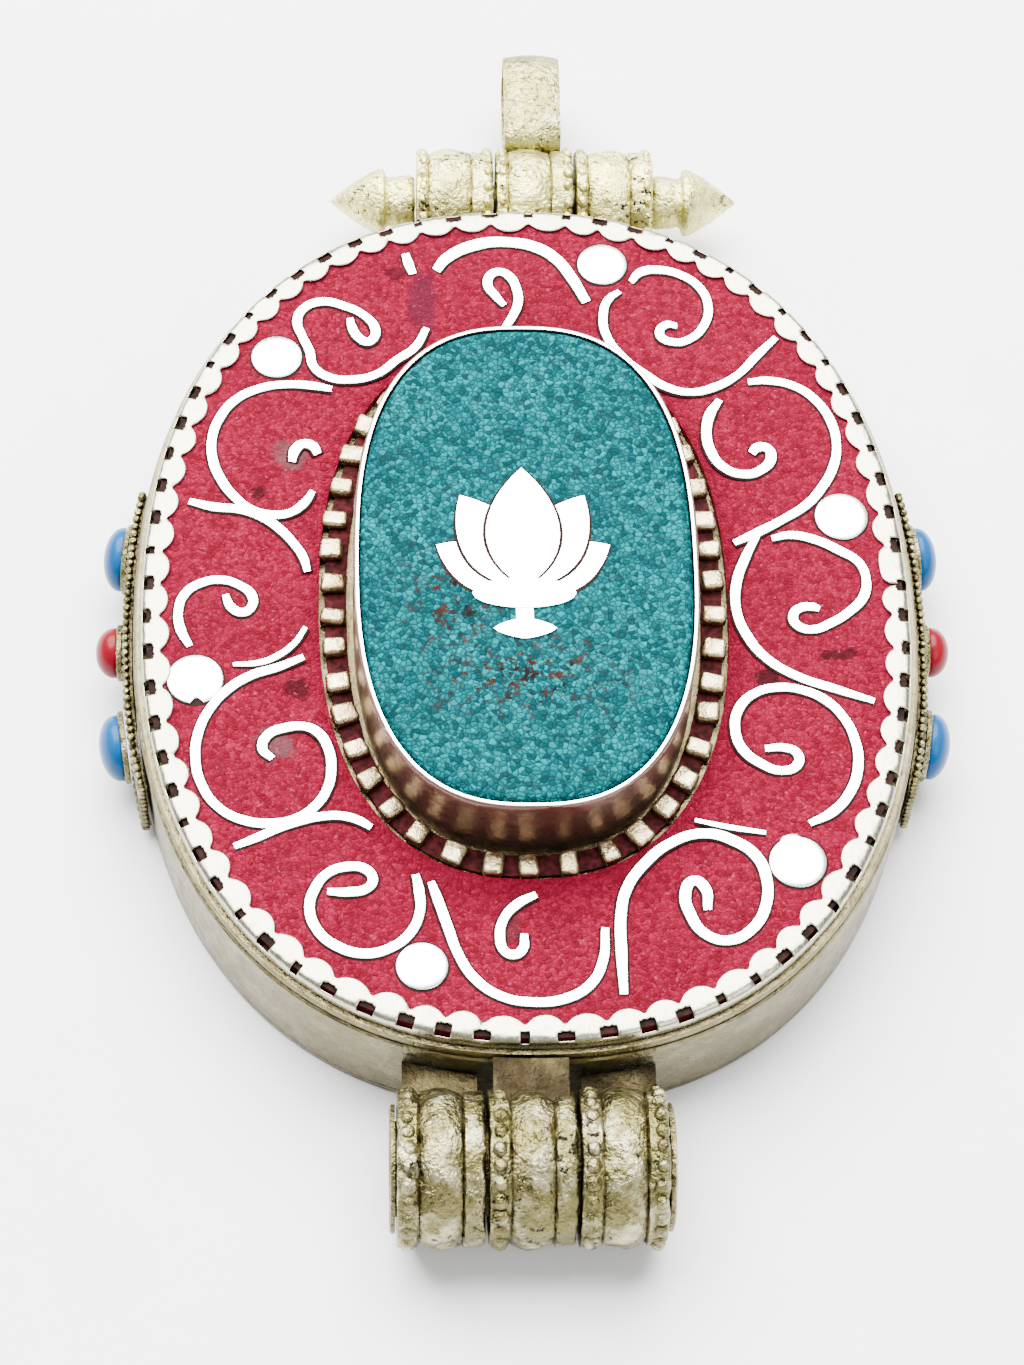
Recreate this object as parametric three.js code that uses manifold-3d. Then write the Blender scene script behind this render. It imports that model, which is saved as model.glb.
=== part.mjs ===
// A Tibetan prayer box pendant (gau), lying on its back. Millimetres, +Z out of the face,
// +Y towards the hanging bail, origin at the centre of the back face.
//
// The case is an oval tray. The lid is the decorated front: it turns on the barrel at the
// bottom end. The bail turns on the small tube at the top end, round a lock pin that pulls
// out sideways by its left finial.
import * as THREE from 'three';
import { mergeVertices } from 'three/addons/utils/BufferGeometryUtils.js';
import Module from 'manifold-3d';

const wasm = await Module();
wasm.setup();

// ---- Case tray ----
const CASE_HALF_WIDTH = 25.5;
const CASE_HALF_LENGTH = 31.9;
const CASE_SQUARENESS = 2.26; // exponent of the oval: 2 is an ellipse, more is boxier
const CASE_WALL = 0.8;
const BACK_THICKNESS = 0.7;
const CASE_DEPTH = 7.6; // back face to the rim that the lid closes on
const OVAL_STEPS = 64;

// ---- Lid frame ----
const SEAM_GAP = 0.05;
const LID_INSET = 0.15; // lid plate inside the tray's outline
const LID_PLATE_THICKNESS = 0.55;
const BEZEL_INSET = 0.45; // bezel strip inside the tray's outline
const BEZEL_WALL = 0.45;
const BEZEL_HEIGHT = 1.3; // above the lid plate
const LIP_DEPTH = 1.5; // band under the lid that enters the tray
const LIP_WALL = 0.5;
const LIP_CLEARANCE = 0.3;
const LIP_END = 11; // the lip stops this far short of the tray's hinge end

// ---- Scalloped edge ----
const SCALLOPS = 72;
const SCALLOP_THICKNESS = 0.25;
const SCALLOP_ROOT_ACROSS = 1.25; // bezel's outer edge to the roots, on the long sides
const SCALLOP_ROOT_ALONG = 1.25; // the same at the two ends
const SCALLOP_LENGTH = 0.75;
const SCALLOP_STEPS = 4;

// ---- Coral field ----
const CORAL_THICKNESS = 0.9;
const CORAL_CLEARANCE = 0.1;
const WIRE_WIDTH = 0.62;
const WIRE_HEIGHT = 0.15; // above the coral
const WIRE_STEPS = 1.8; // steps of a wire for each of its points

// ---- Centre stone ----
const STONE_CENTRE = new THREE.Vector2(-0.2, 0.2);
const STONE_HALF_WIDTH = 10.6;
const STONE_HALF_LENGTH = 17.6;
const STONE_SQUARENESS = 2.58;
const STONE_THICKNESS = 2;
const BACKING_THICKNESS = 4;
const COLLET_WALL = 0.35;
const COLLET_CLEARANCE = 0.1;
const COLLET_BELOW_STONE = 0.1; // collet rim to the top of the stone
const EMBLEM_THICKNESS = 0.15;
const STONE_STEPS = 56;

// ---- Bead strip round the stone ----
const BEADS = 42;
const BEAD_RING_OFFSET = 1.75; // stone's edge to the middle of the beads
const BEAD_SQUARENESS = 2.38;
const BEAD_WIDTH = 1.25; // along the strip
const BEAD_HEIGHT = 0.6;
const STRIP_WIDTH = 1.7;
const STRIP_THICKNESS = 0.55;
const STRIP_EDGE = 0.05; // strip that shows past the two ends of a bead

// ---- Clearances of both hinges ----
const RUNNING_CLEARANCE = 0.3; // pin to bore, on the radius
const KNUCKLE_GAP = 0.2;
const SOLDER_GAP = 0.1; // left round every soldered joint

// ---- Hinge barrel at the bottom end ----
const HINGE_PIN_RADIUS = 2.9;
const HINGE_PIN_WALL = 0.8;
const HINGE_HEAD_PROUD = 1;
const HINGE_HEAD_THICKNESS = 0.35;
const HINGE_WALL = 1.5;
const HINGE_BEAD_PROUD = 0.4;
const HINGE_BEAD_WIDTH = 1;
const HINGE_KNUCKLE = 5.3; // length of one of the three knuckles
const HINGE_START_X = -8.6;
const HINGE_STANDOFF = 0.8; // tray's end to the barrel's bead rings
const HINGE_BELOW_SEAM = 2.85;
const HINGE_ABOVE_BACK = 0.15;
const HINGE_LEAF_THICKNESS = 0.9;
const HINGE_LEAF_INSET = 0.3; // leaf narrower than its knuckle, at each side

// ---- Top tube, lock pin and bail ----
const LOCK_PIN_RADIUS = 1.2;
const TOP_WALL = 2;
const TOP_BEAD_PROUD = 0.4;
const TOP_BEAD_WIDTH = 0.65;
const TOP_KNUCKLE = 5.4;
const TOP_START_X = -6.85;
const TOP_BELOW_SEAM = 3.5;
const TOP_LEAF_HEIGHT = 1.8;
const NECK_RADIUS = 2;
const NECK_LENGTH = 2.2;
const FINIAL_RADIUS = 2.35;
const FINIAL_LENGTH = 3.8;
const FINIAL_STEP = 0.3; // neck's end to the widest part of the cone
const FINIAL_SOCKET = 1.6; // depth of the blind bore in the right finial
const BAIL_WIDTH = 4;
const BAIL_LENGTH = 8.8;
const BAIL_DEPTH = 5.8;
const BAIL_WALL = 0.65;
const BAIL_SQUARENESS = 3.4;
const BAIL_STEPS = 28;

// ---- Side ornaments ----
const SIDE_TOP_Y = 9.8;
const SIDE_BOTTOM_Y = -12.5;
const SIDE_BASE_Z = 0.8;
const SIDE_HEIGHT = 6;
const SIDE_THICKNESS = 0.6;
const CABOCHONS = [
  { name: 'upper', y: 6.3, radius: 2, colour: 'blue' },
  { name: 'middle', y: -0.9, radius: 1.5, colour: 'red' },
  { name: 'lower', y: -8, radius: 2, colour: 'blue' },
];
const CUP_WALL = 0.3;
const CUP_HEIGHT = 0.8;
const CUP_FLOOR = 0.2;
const CUP_STANDOFF = 0.15; // off the side plate
const CUP_CLEARANCE = 0.1;
const CUP_SIDES = 12;
const DOME_HEIGHT = 1.5;
const DOME_FOOT = 0.3; // straight part of a cabochon, under its dome

// ---- Contents ----
const ROLL_RADIUS = 2.8;
const ROLL_BORE = 0.8;
const ROLL_LENGTH = 36;
const ROLL_X = -10;
const TIE_THICKNESS = 0.4;
const TIE_WIDTH = 2;
const TIE_CLEARANCE = 0.1;
const ROLL_SIDES = 16;

// ---- Heights and outlines that follow ----
const LID_BASE = CASE_DEPTH + SEAM_GAP;
const LID_TOP = LID_BASE + LID_PLATE_THICKNESS;
const FACE_TOP = LID_TOP + BEZEL_HEIGHT;
const SCALLOP_BASE = FACE_TOP - SCALLOP_THICKNESS;
const CORAL_TOP = LID_TOP + CORAL_THICKNESS;
const STONE_BASE = LID_TOP + BACKING_THICKNESS;
const STONE_TOP = STONE_BASE + STONE_THICKNESS;
const HINGE_BORE = HINGE_PIN_RADIUS + RUNNING_CLEARANCE;
const HINGE_RADIUS = HINGE_BORE + HINGE_WALL;
const HINGE_BEAD_RADIUS = HINGE_RADIUS + HINGE_BEAD_PROUD;
const HINGE_AXIS_Y = -(CASE_HALF_LENGTH + HINGE_STANDOFF + HINGE_BEAD_RADIUS);
const HINGE_AXIS_Z = Math.max(CASE_DEPTH - HINGE_BELOW_SEAM, HINGE_BEAD_RADIUS + HINGE_ABOVE_BACK);
const TOP_BORE = LOCK_PIN_RADIUS + RUNNING_CLEARANCE;
const TOP_RADIUS = TOP_BORE + TOP_WALL;
const TOP_BEAD_RADIUS = TOP_RADIUS + TOP_BEAD_PROUD;
const TOP_AXIS_Y = CASE_HALF_LENGTH + TOP_BEAD_RADIUS + SOLDER_GAP;
const TOP_AXIS_Z = CASE_DEPTH - TOP_BELOW_SEAM;

const silver = new THREE.MeshStandardMaterial({ color: 0xcfcdbf, roughness: 0.35, metalness: 0.9 });
const brightSilver = new THREE.MeshStandardMaterial({ color: 0xf2f2ee, roughness: 0.2, metalness: 0.9 });
const coral = new THREE.MeshStandardMaterial({ color: 0xb5303f, roughness: 0.45, metalness: 0 });
const turquoise = new THREE.MeshStandardMaterial({ color: 0x2f9ea6, roughness: 0.4, metalness: 0 });
const pitch = new THREE.MeshStandardMaterial({ color: 0x2b2320, roughness: 0.8, metalness: 0 });
const blueStone = new THREE.MeshStandardMaterial({ color: 0x1e88d2, roughness: 0.3, metalness: 0 });
const redStone = new THREE.MeshStandardMaterial({ color: 0xb8242a, roughness: 0.3, metalness: 0 });
const paper = new THREE.MeshStandardMaterial({ color: 0xd9c9a3, roughness: 0.9, metalness: 0 });
const thread = new THREE.MeshStandardMaterial({ color: 0x8f1f24, roughness: 0.9, metalness: 0 });

const pendant = new THREE.Group();

function addPiece(name, geometry, material, place = null) {
  const mesh = new THREE.Mesh(geometry, material);
  mesh.name = name;
  if (place) {
    mesh.position.copy(place.position);
    mesh.rotation.copy(place.rotation);
  }
  pendant.add(mesh);
}

// ---- Solids ----

function toSolid(geometry) {
  const bare = geometry.clone();
  bare.deleteAttribute('normal');
  bare.deleteAttribute('uv');
  const merged = mergeVertices(bare, 1e-5);
  return new wasm.Manifold(new wasm.Mesh({
    numProp: 3,
    vertProperties: new Float32Array(merged.attributes.position.array),
    triVerts: new Uint32Array(merged.index.array),
  }));
}

function toGeometry(solid) {
  const mesh = solid.getMesh();
  const geometry = new THREE.BufferGeometry();
  geometry.setAttribute('position', new THREE.BufferAttribute(new Float32Array(mesh.vertProperties), 3));
  geometry.setIndex(new THREE.BufferAttribute(new Uint32Array(mesh.triVerts), 1));
  geometry.computeVertexNormals();
  return geometry;
}

function box(low, high) {
  const size = high.map((value, axis) => value - low[axis]);
  const geometry = new THREE.BoxGeometry(...size);
  return geometry.translate(...high.map((value, axis) => (value + low[axis]) / 2));
}

// An oval outline: a superellipse, so that an ellipse can be made a little boxier.
class Oval extends THREE.Curve {
  constructor(halfWidth, halfLength, squareness, centre = new THREE.Vector2()) {
    super();
    Object.assign(this, { halfWidth, halfLength, squareness, centre });
  }

  getPoint(t) {
    const angle = 2 * Math.PI * t;
    const bend = (value) => Math.sign(value) * Math.abs(value) ** (2 / this.squareness);
    const x = this.halfWidth * bend(Math.cos(angle));
    const y = this.halfLength * bend(Math.sin(angle));
    return new THREE.Vector2(x, y).add(this.centre);
  }

  grown(amount) {
    return new Oval(this.halfWidth + amount, this.halfLength + amount, this.squareness, this.centre);
  }

  outline(steps) {
    return Array.from({ length: steps }, (_, step) => this.getPoint(step / steps));
  }

  // Distance from the centre to the edge in a direction.
  reach(angle) {
    const across = Math.abs(Math.cos(angle)) / this.halfWidth;
    const along = Math.abs(Math.sin(angle)) / this.halfLength;
    return (across ** this.squareness + along ** this.squareness) ** (-1 / this.squareness);
  }
}

function slab(outline, low, high, hole = null) {
  const shape = new THREE.Shape(outline);
  if (hole) shape.holes.push(new THREE.Path(hole));
  const geometry = new THREE.ExtrudeGeometry(shape, { depth: high - low, bevelEnabled: false });
  return geometry.translate(0, 0, low);
}

function ovalSlab(oval, low, high, hole = null, steps = OVAL_STEPS) {
  return slab(oval.outline(steps), low, high, hole && hole.outline(steps));
}

// A turned piece whose axis runs along +X. The profile is a list of [radius, distance] pairs.
function turned(profile, sides) {
  const points = profile.map(([radius, distance]) => new THREE.Vector2(radius, distance));
  return new THREE.LatheGeometry(points, sides).rotateZ(-Math.PI / 2);
}

const caseOval = new Oval(CASE_HALF_WIDTH, CASE_HALF_LENGTH, CASE_SQUARENESS);
const bezelOval = caseOval.grown(-BEZEL_INSET);
const stoneOval = new Oval(STONE_HALF_WIDTH, STONE_HALF_LENGTH, STONE_SQUARENESS, STONE_CENTRE);
const beadOval = new Oval(
  STONE_HALF_WIDTH + BEAD_RING_OFFSET,
  STONE_HALF_LENGTH + BEAD_RING_OFFSET,
  BEAD_SQUARENESS,
  STONE_CENTRE,
);
const rootOval = new Oval(
  bezelOval.halfWidth - SCALLOP_ROOT_ACROSS,
  bezelOval.halfLength - SCALLOP_ROOT_ALONG,
  CASE_SQUARENESS,
);

// ---- Tray, lid plate and lip ----

function addCase() {
  const inside = caseOval.grown(-CASE_WALL);
  addPiece('back_plate', ovalSlab(caseOval, 0, BACK_THICKNESS), silver);
  addPiece('case_wall', ovalSlab(caseOval, BACK_THICKNESS, CASE_DEPTH, inside), silver);
}

function addLidPlate() {
  addPiece('lid_plate', ovalSlab(caseOval.grown(-LID_INSET), LID_BASE, LID_TOP), silver);
}

// The lip is a band that is left open near the hinge, where it would catch on the tray.
function addLidLip() {
  const outer = caseOval.grown(-CASE_WALL - LIP_CLEARANCE);
  const band = toSolid(ovalSlab(outer, LID_BASE - LIP_DEPTH, LID_BASE, outer.grown(-LIP_WALL)));
  const end = -CASE_HALF_LENGTH + LIP_END;
  const low = [-CASE_HALF_WIDTH, -CASE_HALF_LENGTH, 0];
  const hingeEnd = toSolid(box(low, [CASE_HALF_WIDTH, end, FACE_TOP]));
  addPiece('lid_lip', toGeometry(band.subtract(hingeEnd)), silver);
}

// ---- Bezel with its scalloped edge bent in over the coral ----

function scallopOutline() {
  const points = [];
  for (let step = 0; step < SCALLOPS * SCALLOP_STEPS; step += 1) {
    const share = step / (SCALLOPS * SCALLOP_STEPS);
    const bulge = Math.sin(Math.PI * ((step % SCALLOP_STEPS) / SCALLOP_STEPS)) ** 0.7;
    const tangent = rootOval.getTangentAt(share);
    const inward = new THREE.Vector2(-tangent.y, tangent.x);
    points.push(rootOval.getPointAt(share).addScaledVector(inward, SCALLOP_LENGTH * bulge));
  }
  return points;
}

function addBezel() {
  const joint = (SCALLOP_BASE + FACE_TOP) / 2;
  const wall = ovalSlab(bezelOval, LID_TOP, joint, bezelOval.grown(-BEZEL_WALL));
  const edge = slab(bezelOval.outline(OVAL_STEPS), SCALLOP_BASE, FACE_TOP, scallopOutline());
  addPiece('scalloped_bezel', toGeometry(toSolid(wall).add(toSolid(edge))), brightSilver);
}

// ---- Coral field with its silver scroll wires and dots ----

// The pattern is drawn for a field between these two ovals, and stretched to the real one.
const DRAWN_INSIDE = new Oval(13.2, 20.2, BEAD_SQUARENESS);
const DRAWN_OUTSIDE = new Oval(23.8, 30.2, CASE_SQUARENESS);

const fieldInside = beadOval.grown(STRIP_WIDTH / 2);

// How wide the real field is in a direction, for each millimetre that was drawn.
function stretchAt(angle) {
  const drawn = DRAWN_OUTSIDE.reach(angle) - DRAWN_INSIDE.reach(angle);
  return (rootOval.reach(angle) - fieldInside.reach(angle)) / drawn;
}

function onField([x, y]) {
  const angle = Math.atan2(y, x);
  const fromInside = Math.hypot(x, y) - DRAWN_INSIDE.reach(angle);
  const radius = fieldInside.reach(angle) + fromInside * stretchAt(angle);
  return new THREE.Vector2(radius * Math.cos(angle), radius * Math.sin(angle));
}

// Half the width of a wire or a dot placed at (x, y): finer where the field is narrow.
function fieldSize(halfWidth, x, y) {
  return halfWidth * Math.min(stretchAt(Math.atan2(y, x)), 1);
}

// Each scroll is one or more strokes, bent from flat wire. Strokes of one scroll are soldered.
const SCROLLS = {
  top_left_loop: [[
    [-11.5, 22.2], [-11.3, 21.3], [-10.9, 20.6], [-10.3, 20.25], [-9.85, 20.6], [-9.8, 21.4],
    [-10.5, 22.4], [-11.9, 23.2], [-13.4, 23.55], [-14.6, 23], [-15.05, 21.9], [-14.7, 20.7],
    [-14.2, 19.5], [-13.9, 18.2], [-13, 17.4], [-11.5, 17.15], [-9.7, 17.6], [-8.3, 18.8],
    [-7.1, 19.8], [-6.3, 21.4],
  ]],
  top_arch: [[
    [-5.6, 26.2], [-4.9, 27.2], [-2.9, 28.35], [-0.7, 28.6], [1.4, 28.1], [2.7, 27.1],
    [3.6, 25.7], [4.6, 23.6],
  ]],
  top_curl: [[
    [-1, 23.3], [-1.6, 24.1], [-2.1, 25], [-1.9, 25.8], [-1.3, 26.1], [-0.6, 25.7],
    [-0.15, 24.7], [-0.05, 23.6], [-0.5, 22.3], [-1.1, 21.3],
  ]],
  top_right_spiral: [[
    [7.7, 25.3], [8.4, 26.1], [9.6, 26.3], [11.1, 25.9], [12.4, 24.8], [12.9, 23.3],
    [12.6, 21.8], [11.6, 20.6], [10.3, 20.3], [9.5, 20.9], [9.9, 21.7], [10.7, 21.65],
  ]],
  top_right_sweep: [[
    [6.9, 24.5], [6.1, 23.8], [5.7, 22.4], [5.85, 20.9], [6.8, 19.2], [8.5, 17.55],
    [9.8, 16.6], [11.3, 16.2], [13, 16.6], [14.6, 17.6], [16.1, 19.3], [17.4, 20.7],
  ]],
  right_upper_spiral: [[
    [13.3, 15.6], [12.6, 14.4], [12.3, 13], [12.5, 11.5], [13.3, 10.2], [14.6, 9.65],
    [15.8, 10], [16.5, 10.9], [16.3, 11.7], [15.6, 11.75], [15.25, 11.3],
  ]],
  right_sweep: [
    [
      [15.3, 17.05], [16.6, 17.15], [18.5, 16.65], [19.9, 15.4], [20.7, 13.8], [20.95, 12],
      [20.6, 10.2], [19.75, 8.6], [18.7, 7.3], [17, 6.1], [15.2, 5.05], [13.7, 4.3],
    ],
    [
      [15.3, 5], [14.4, 3.2], [13.7, 1.2], [13.6, -0.9], [14.2, -2.8], [15.4, -4.5],
      [17.3, -5.8], [19.6, -6.7], [22.1, -7.6],
    ],
  ],
  right_loop: [[
    [16.2, 4.65], [17.4, 4.9], [19, 4.55], [20.6, 3.7], [21.8, 2.8], [22.2, 1.6], [21.95, 0.2],
    [21, -0.9], [19.7, -1.8], [18.4, -2.3], [17.5, -2], [17.25, -1.3], [17.7, -0.7],
    [18.6, -0.6], [19, -0.75],
  ]],
  right_lower_spiral: [[
    [14.9, -11.05], [16.1, -11], [16.9, -11.4], [16.9, -12.2], [15.9, -12.65], [14.5, -12.1],
    [13.45, -11.1], [13.05, -9.7], [13.4, -8.1], [14.5, -7], [16, -6.6], [17.5, -6.8],
    [18.9, -7.5], [20, -8.75], [20.65, -10.4], [20.75, -12.2], [20.15, -14.1], [18.9, -15.6],
    [17.4, -16.4],
  ]],
  bottom_right_loop: [[
    [5.3, -28.1], [5.25, -25.3], [5.3, -22.8], [5.7, -21], [6.9, -19.2], [8.7, -17.7],
    [10.7, -17.1], [12.6, -17.65], [13.9, -18.7], [14.45, -20.2], [14.35, -22], [13.5, -23.6],
    [11.9, -24.5], [10.4, -24], [9.6, -22.7], [9.35, -21.3], [9.9, -20.4], [10.6, -20.9],
    [10.7, -22.4],
  ]],
  bottom_arch: [[
    [-6.4, -20.4], [-6, -21.6], [-5.4, -23.5], [-4.8, -25.3], [-3.8, -27], [-2.2, -28.2],
    [-0.3, -28.6], [1.8, -28.35], [3.3, -27.4], [4.1, -25.8], [4.3, -23.6],
  ]],
  bottom_curl: [[
    [0.1, -21.3], [-1, -21.9], [-1.9, -22.9], [-2.2, -24.1], [-1.9, -25.2], [-1.3, -25.4],
    [-0.8, -25], [-0.7, -24],
  ]],
  bottom_left_loop: [[
    [-12.8, -21.05], [-11.5, -21.1], [-10.3, -20.8], [-10, -20.2], [-10.5, -19.5],
    [-11.6, -19.35], [-12.8, -19.8], [-13.6, -20.9], [-13.9, -22.2], [-13.4, -23.7],
    [-12.2, -24.8], [-10.5, -25.3], [-8.9, -24.9], [-7.7, -23.9], [-7.1, -22.4],
    [-7.15, -21], [-7.35, -19.9],
  ]],
  left_lower_sweep: [
    [
      [-16.3, -11.7], [-16.95, -11], [-16.6, -10], [-15.5, -9.5], [-14.3, -9.4], [-13.4, -9.9],
      [-12.8, -11], [-12.6, -12.4], [-12.85, -13.9], [-13.6, -15.1], [-14.7, -15.95],
      [-16.2, -16.3], [-18, -16.1], [-19.6, -15.2], [-20.7, -13.6], [-21.15, -11.7],
      [-21, -9.8], [-20.3, -8.1], [-19.2, -6.7], [-17.8, -5.7], [-16, -5.05], [-14.4, -4.3],
    ],
    [
      [-18.6, -17.9], [-17.2, -17.3], [-16, -16.7], [-14.7, -16.2], [-13.3, -15.85],
      [-11.9, -15.8], [-10.8, -16.15], [-10.1, -16.6],
    ],
  ],
  left_middle_curl: [[
    [-19.5, 0.35], [-19.1, -0.6], [-18.4, -1], [-17.8, -0.6], [-17.8, 0.3], [-18.6, 1.05],
    [-19.7, 1.45], [-21, 1.25], [-22.1, 0.4], [-22.5, -1], [-22.3, -2.3], [-21.7, -3.5],
  ]],
  left_upper_sweep: [
    [
      [-13.9, 8.3], [-14.5, 7.3], [-15.4, 6.6], [-16.6, 6.45], [-17.9, 6.85], [-19, 7.8],
      [-19.9, 9.1], [-20.5, 10.7], [-20.6, 12.4], [-20.1, 14.1], [-19.1, 15.5], [-17.6, 16.4],
      [-15.8, 16.75], [-14, 16.65], [-12.7, 16.4],
    ],
    [
      [-22, 7.5], [-20.4, 7.05], [-18.7, 6.85], [-17.3, 6.3], [-16.1, 5.4], [-15.1, 4.2],
      [-14.5, 3.2], [-14.2, 2.1],
    ],
  ],
};

const DOTS = [
  { x: 5.77, y: 26.75, radius: 1.7 },
  { x: -16.4, y: 19, radius: 1.7 },
  { x: 20.9, y: 6.35, radius: 1.75 },
  { x: -21.3, y: -5.95, radius: 1.8 },
  { x: 16.5, y: -19.1, radius: 1.8 },
  { x: -7, y: -26.15, radius: 1.6 },
];

// A flat wire along a stroke, as the strip between its two offset edges.
function wireStroke(stroke) {
  const points = stroke.map(onField).map(({ x, y }) => new THREE.Vector3(x, y, 0));
  const curve = new THREE.CatmullRomCurve3(points);
  const steps = Math.round(points.length * WIRE_STEPS);
  const left = [];
  const right = [];
  for (let step = 0; step <= steps; step += 1) {
    const middle = curve.getPoint(step / steps);
    const { x, y } = curve.getTangent(step / steps);
    const half = fieldSize(WIRE_WIDTH / 2, middle.x, middle.y);
    const side = new THREE.Vector2(-y, x).multiplyScalar(half);
    left.push(new THREE.Vector2(middle.x + side.x, middle.y + side.y));
    right.unshift(new THREE.Vector2(middle.x - side.x, middle.y - side.y));
  }
  return toSolid(slab([...left, ...right], CORAL_TOP, CORAL_TOP + WIRE_HEIGHT));
}

function addCoralField() {
  const outer = bezelOval.grown(-BEZEL_WALL - CORAL_CLEARANCE);
  const hole = fieldInside.grown(CORAL_CLEARANCE);
  addPiece('coral_inlay', ovalSlab(outer, LID_TOP, CORAL_TOP, hole), coral);
  Object.entries(SCROLLS).forEach(([name, strokes]) => {
    const solids = strokes.map(wireStroke);
    const joined = solids.reduce((whole, solid) => whole.add(solid));
    addPiece(`scroll_${name}`, toGeometry(joined), brightSilver);
  });
  DOTS.forEach(({ x, y, radius }, index) => {
    const centre = onField([x, y]);
    const size = fieldSize(radius, centre.x, centre.y);
    const disc = new THREE.CylinderGeometry(size, size, WIRE_HEIGHT, 14).rotateX(Math.PI / 2);
    disc.translate(centre.x, centre.y, CORAL_TOP + WIRE_HEIGHT / 2);
    addPiece(`dot_${index + 1}`, disc, brightSilver);
  });
}

// ---- Centre stone in its collet ----

function addStone() {
  const seat = stoneOval.grown(COLLET_CLEARANCE);
  const rim = STONE_TOP - COLLET_BELOW_STONE;
  const collet = ovalSlab(seat.grown(COLLET_WALL), LID_TOP, rim, seat, STONE_STEPS);
  addPiece('stone_collet', collet, brightSilver);
  addPiece('stone_backing', ovalSlab(stoneOval, LID_TOP, STONE_BASE, null, STONE_STEPS), pitch);
  addPiece('turquoise_stone', ovalSlab(stoneOval, STONE_BASE, STONE_TOP, null, STONE_STEPS), turquoise);
}

function addBeadStrip() {
  const inside = beadOval.grown(-STRIP_WIDTH / 2);
  const strip = ovalSlab(fieldInside, LID_TOP, LID_TOP + STRIP_THICKNESS, inside);
  const beads = Array.from({ length: BEADS }, (_, index) => {
    const share = (index + 0.5) / BEADS;
    const { x, y } = beadOval.getPointAt(share);
    const tangent = beadOval.getTangentAt(share);
    const sunk = STRIP_THICKNESS / 2;
    const length = STRIP_WIDTH - 2 * STRIP_EDGE;
    const bead = new THREE.BoxGeometry(BEAD_WIDTH, length, BEAD_HEIGHT + sunk);
    bead.rotateZ(Math.atan2(tangent.y, tangent.x));
    return toSolid(bead.translate(x, y, LID_TOP + STRIP_THICKNESS + (BEAD_HEIGHT - sunk) / 2));
  });
  const joined = beads.reduce((whole, bead) => whole.add(bead), toSolid(strip));
  addPiece('bead_strip', toGeometry(joined), silver);
}

// ---- Lotus emblem laid on the stone ----
const LOTUS_BASE = new THREE.Vector2(-0.4, -2.2);
const PETALS = [
  { lean: 0, length: 9, width: 4.6 },
  { lean: 30, length: 8, width: 4 },
  { lean: -30, length: 8, width: 4 },
  { lean: 60, length: 6.4, width: 3.4 },
  { lean: -60, length: 6.4, width: 3.4 },
];
const LOTUS_BOWL = { halfWidth: 3.3, halfHeight: 1.1, drop: 0.4 };
const LOTUS_STEM = { halfWidth: 0.55, length: 2.6 };
const LOTUS_ROOT = { halfWidth: 2, halfHeight: 0.75 };

function emblemSlab(outline) {
  return toSolid(slab(outline, STONE_TOP, STONE_TOP + EMBLEM_THICKNESS));
}

function petal({ lean, length, width }) {
  const shape = new THREE.Shape();
  shape.moveTo(0, 0);
  shape.bezierCurveTo(width * 0.85, length * 0.3, width * 0.5, length * 0.75, 0, length);
  shape.bezierCurveTo(-width * 0.5, length * 0.75, -width * 0.85, length * 0.3, 0, 0);
  const outline = shape.getPoints(6).slice(0, -1);
  const turn = THREE.MathUtils.degToRad(-lean);
  return emblemSlab(outline.map((point) => point.rotateAround(new THREE.Vector2(), turn).add(LOTUS_BASE)));
}

function addEmblem() {
  const under = new THREE.Vector2(LOTUS_BASE.x, LOTUS_BASE.y - LOTUS_BOWL.drop);
  const bowl = new Oval(LOTUS_BOWL.halfWidth, LOTUS_BOWL.halfHeight, 2, under);
  const foot = under.clone().setY(under.y - LOTUS_STEM.length);
  const root = new Oval(LOTUS_ROOT.halfWidth, LOTUS_ROOT.halfHeight, 1.4, foot);
  const stem = [
    new THREE.Vector2(foot.x - LOTUS_STEM.halfWidth, foot.y),
    new THREE.Vector2(foot.x + LOTUS_STEM.halfWidth, foot.y),
    new THREE.Vector2(under.x + LOTUS_STEM.halfWidth, under.y),
    new THREE.Vector2(under.x - LOTUS_STEM.halfWidth, under.y),
  ];
  const solids = [...PETALS.map(petal), ...[bowl.outline(16), root.outline(12), stem].map(emblemSlab)];
  addPiece('emblem', toGeometry(solids.reduce((whole, solid) => whole.add(solid))), brightSilver);
}

// ---- Hinge barrel ----
const HINGE_SIDES = 20;
const LEAF_END_Y = -CASE_HALF_LENGTH + 3; // inside the oval, so that the oval cuts every leaf

// A knuckle of a barrel, with a raised bead ring at each end.
function knuckle(length, radius, beadRadius, beadWidth, bore, sides) {
  return turned([
    [bore, 0], [beadRadius, 0], [beadRadius, beadWidth], [radius, beadWidth],
    [radius, length - beadWidth], [beadRadius, length - beadWidth], [beadRadius, length],
    [bore, length], [bore, 0],
  ], sides);
}

// The part of a leaf that is outside an oval, so that it meets a wall of that outline.
function leafAgainst(oval, low, high) {
  const wall = ovalSlab(oval.grown(SOLDER_GAP), low[2] - 1, high[2] + 1);
  return toSolid(box(low, high)).subtract(toSolid(wall));
}

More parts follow.
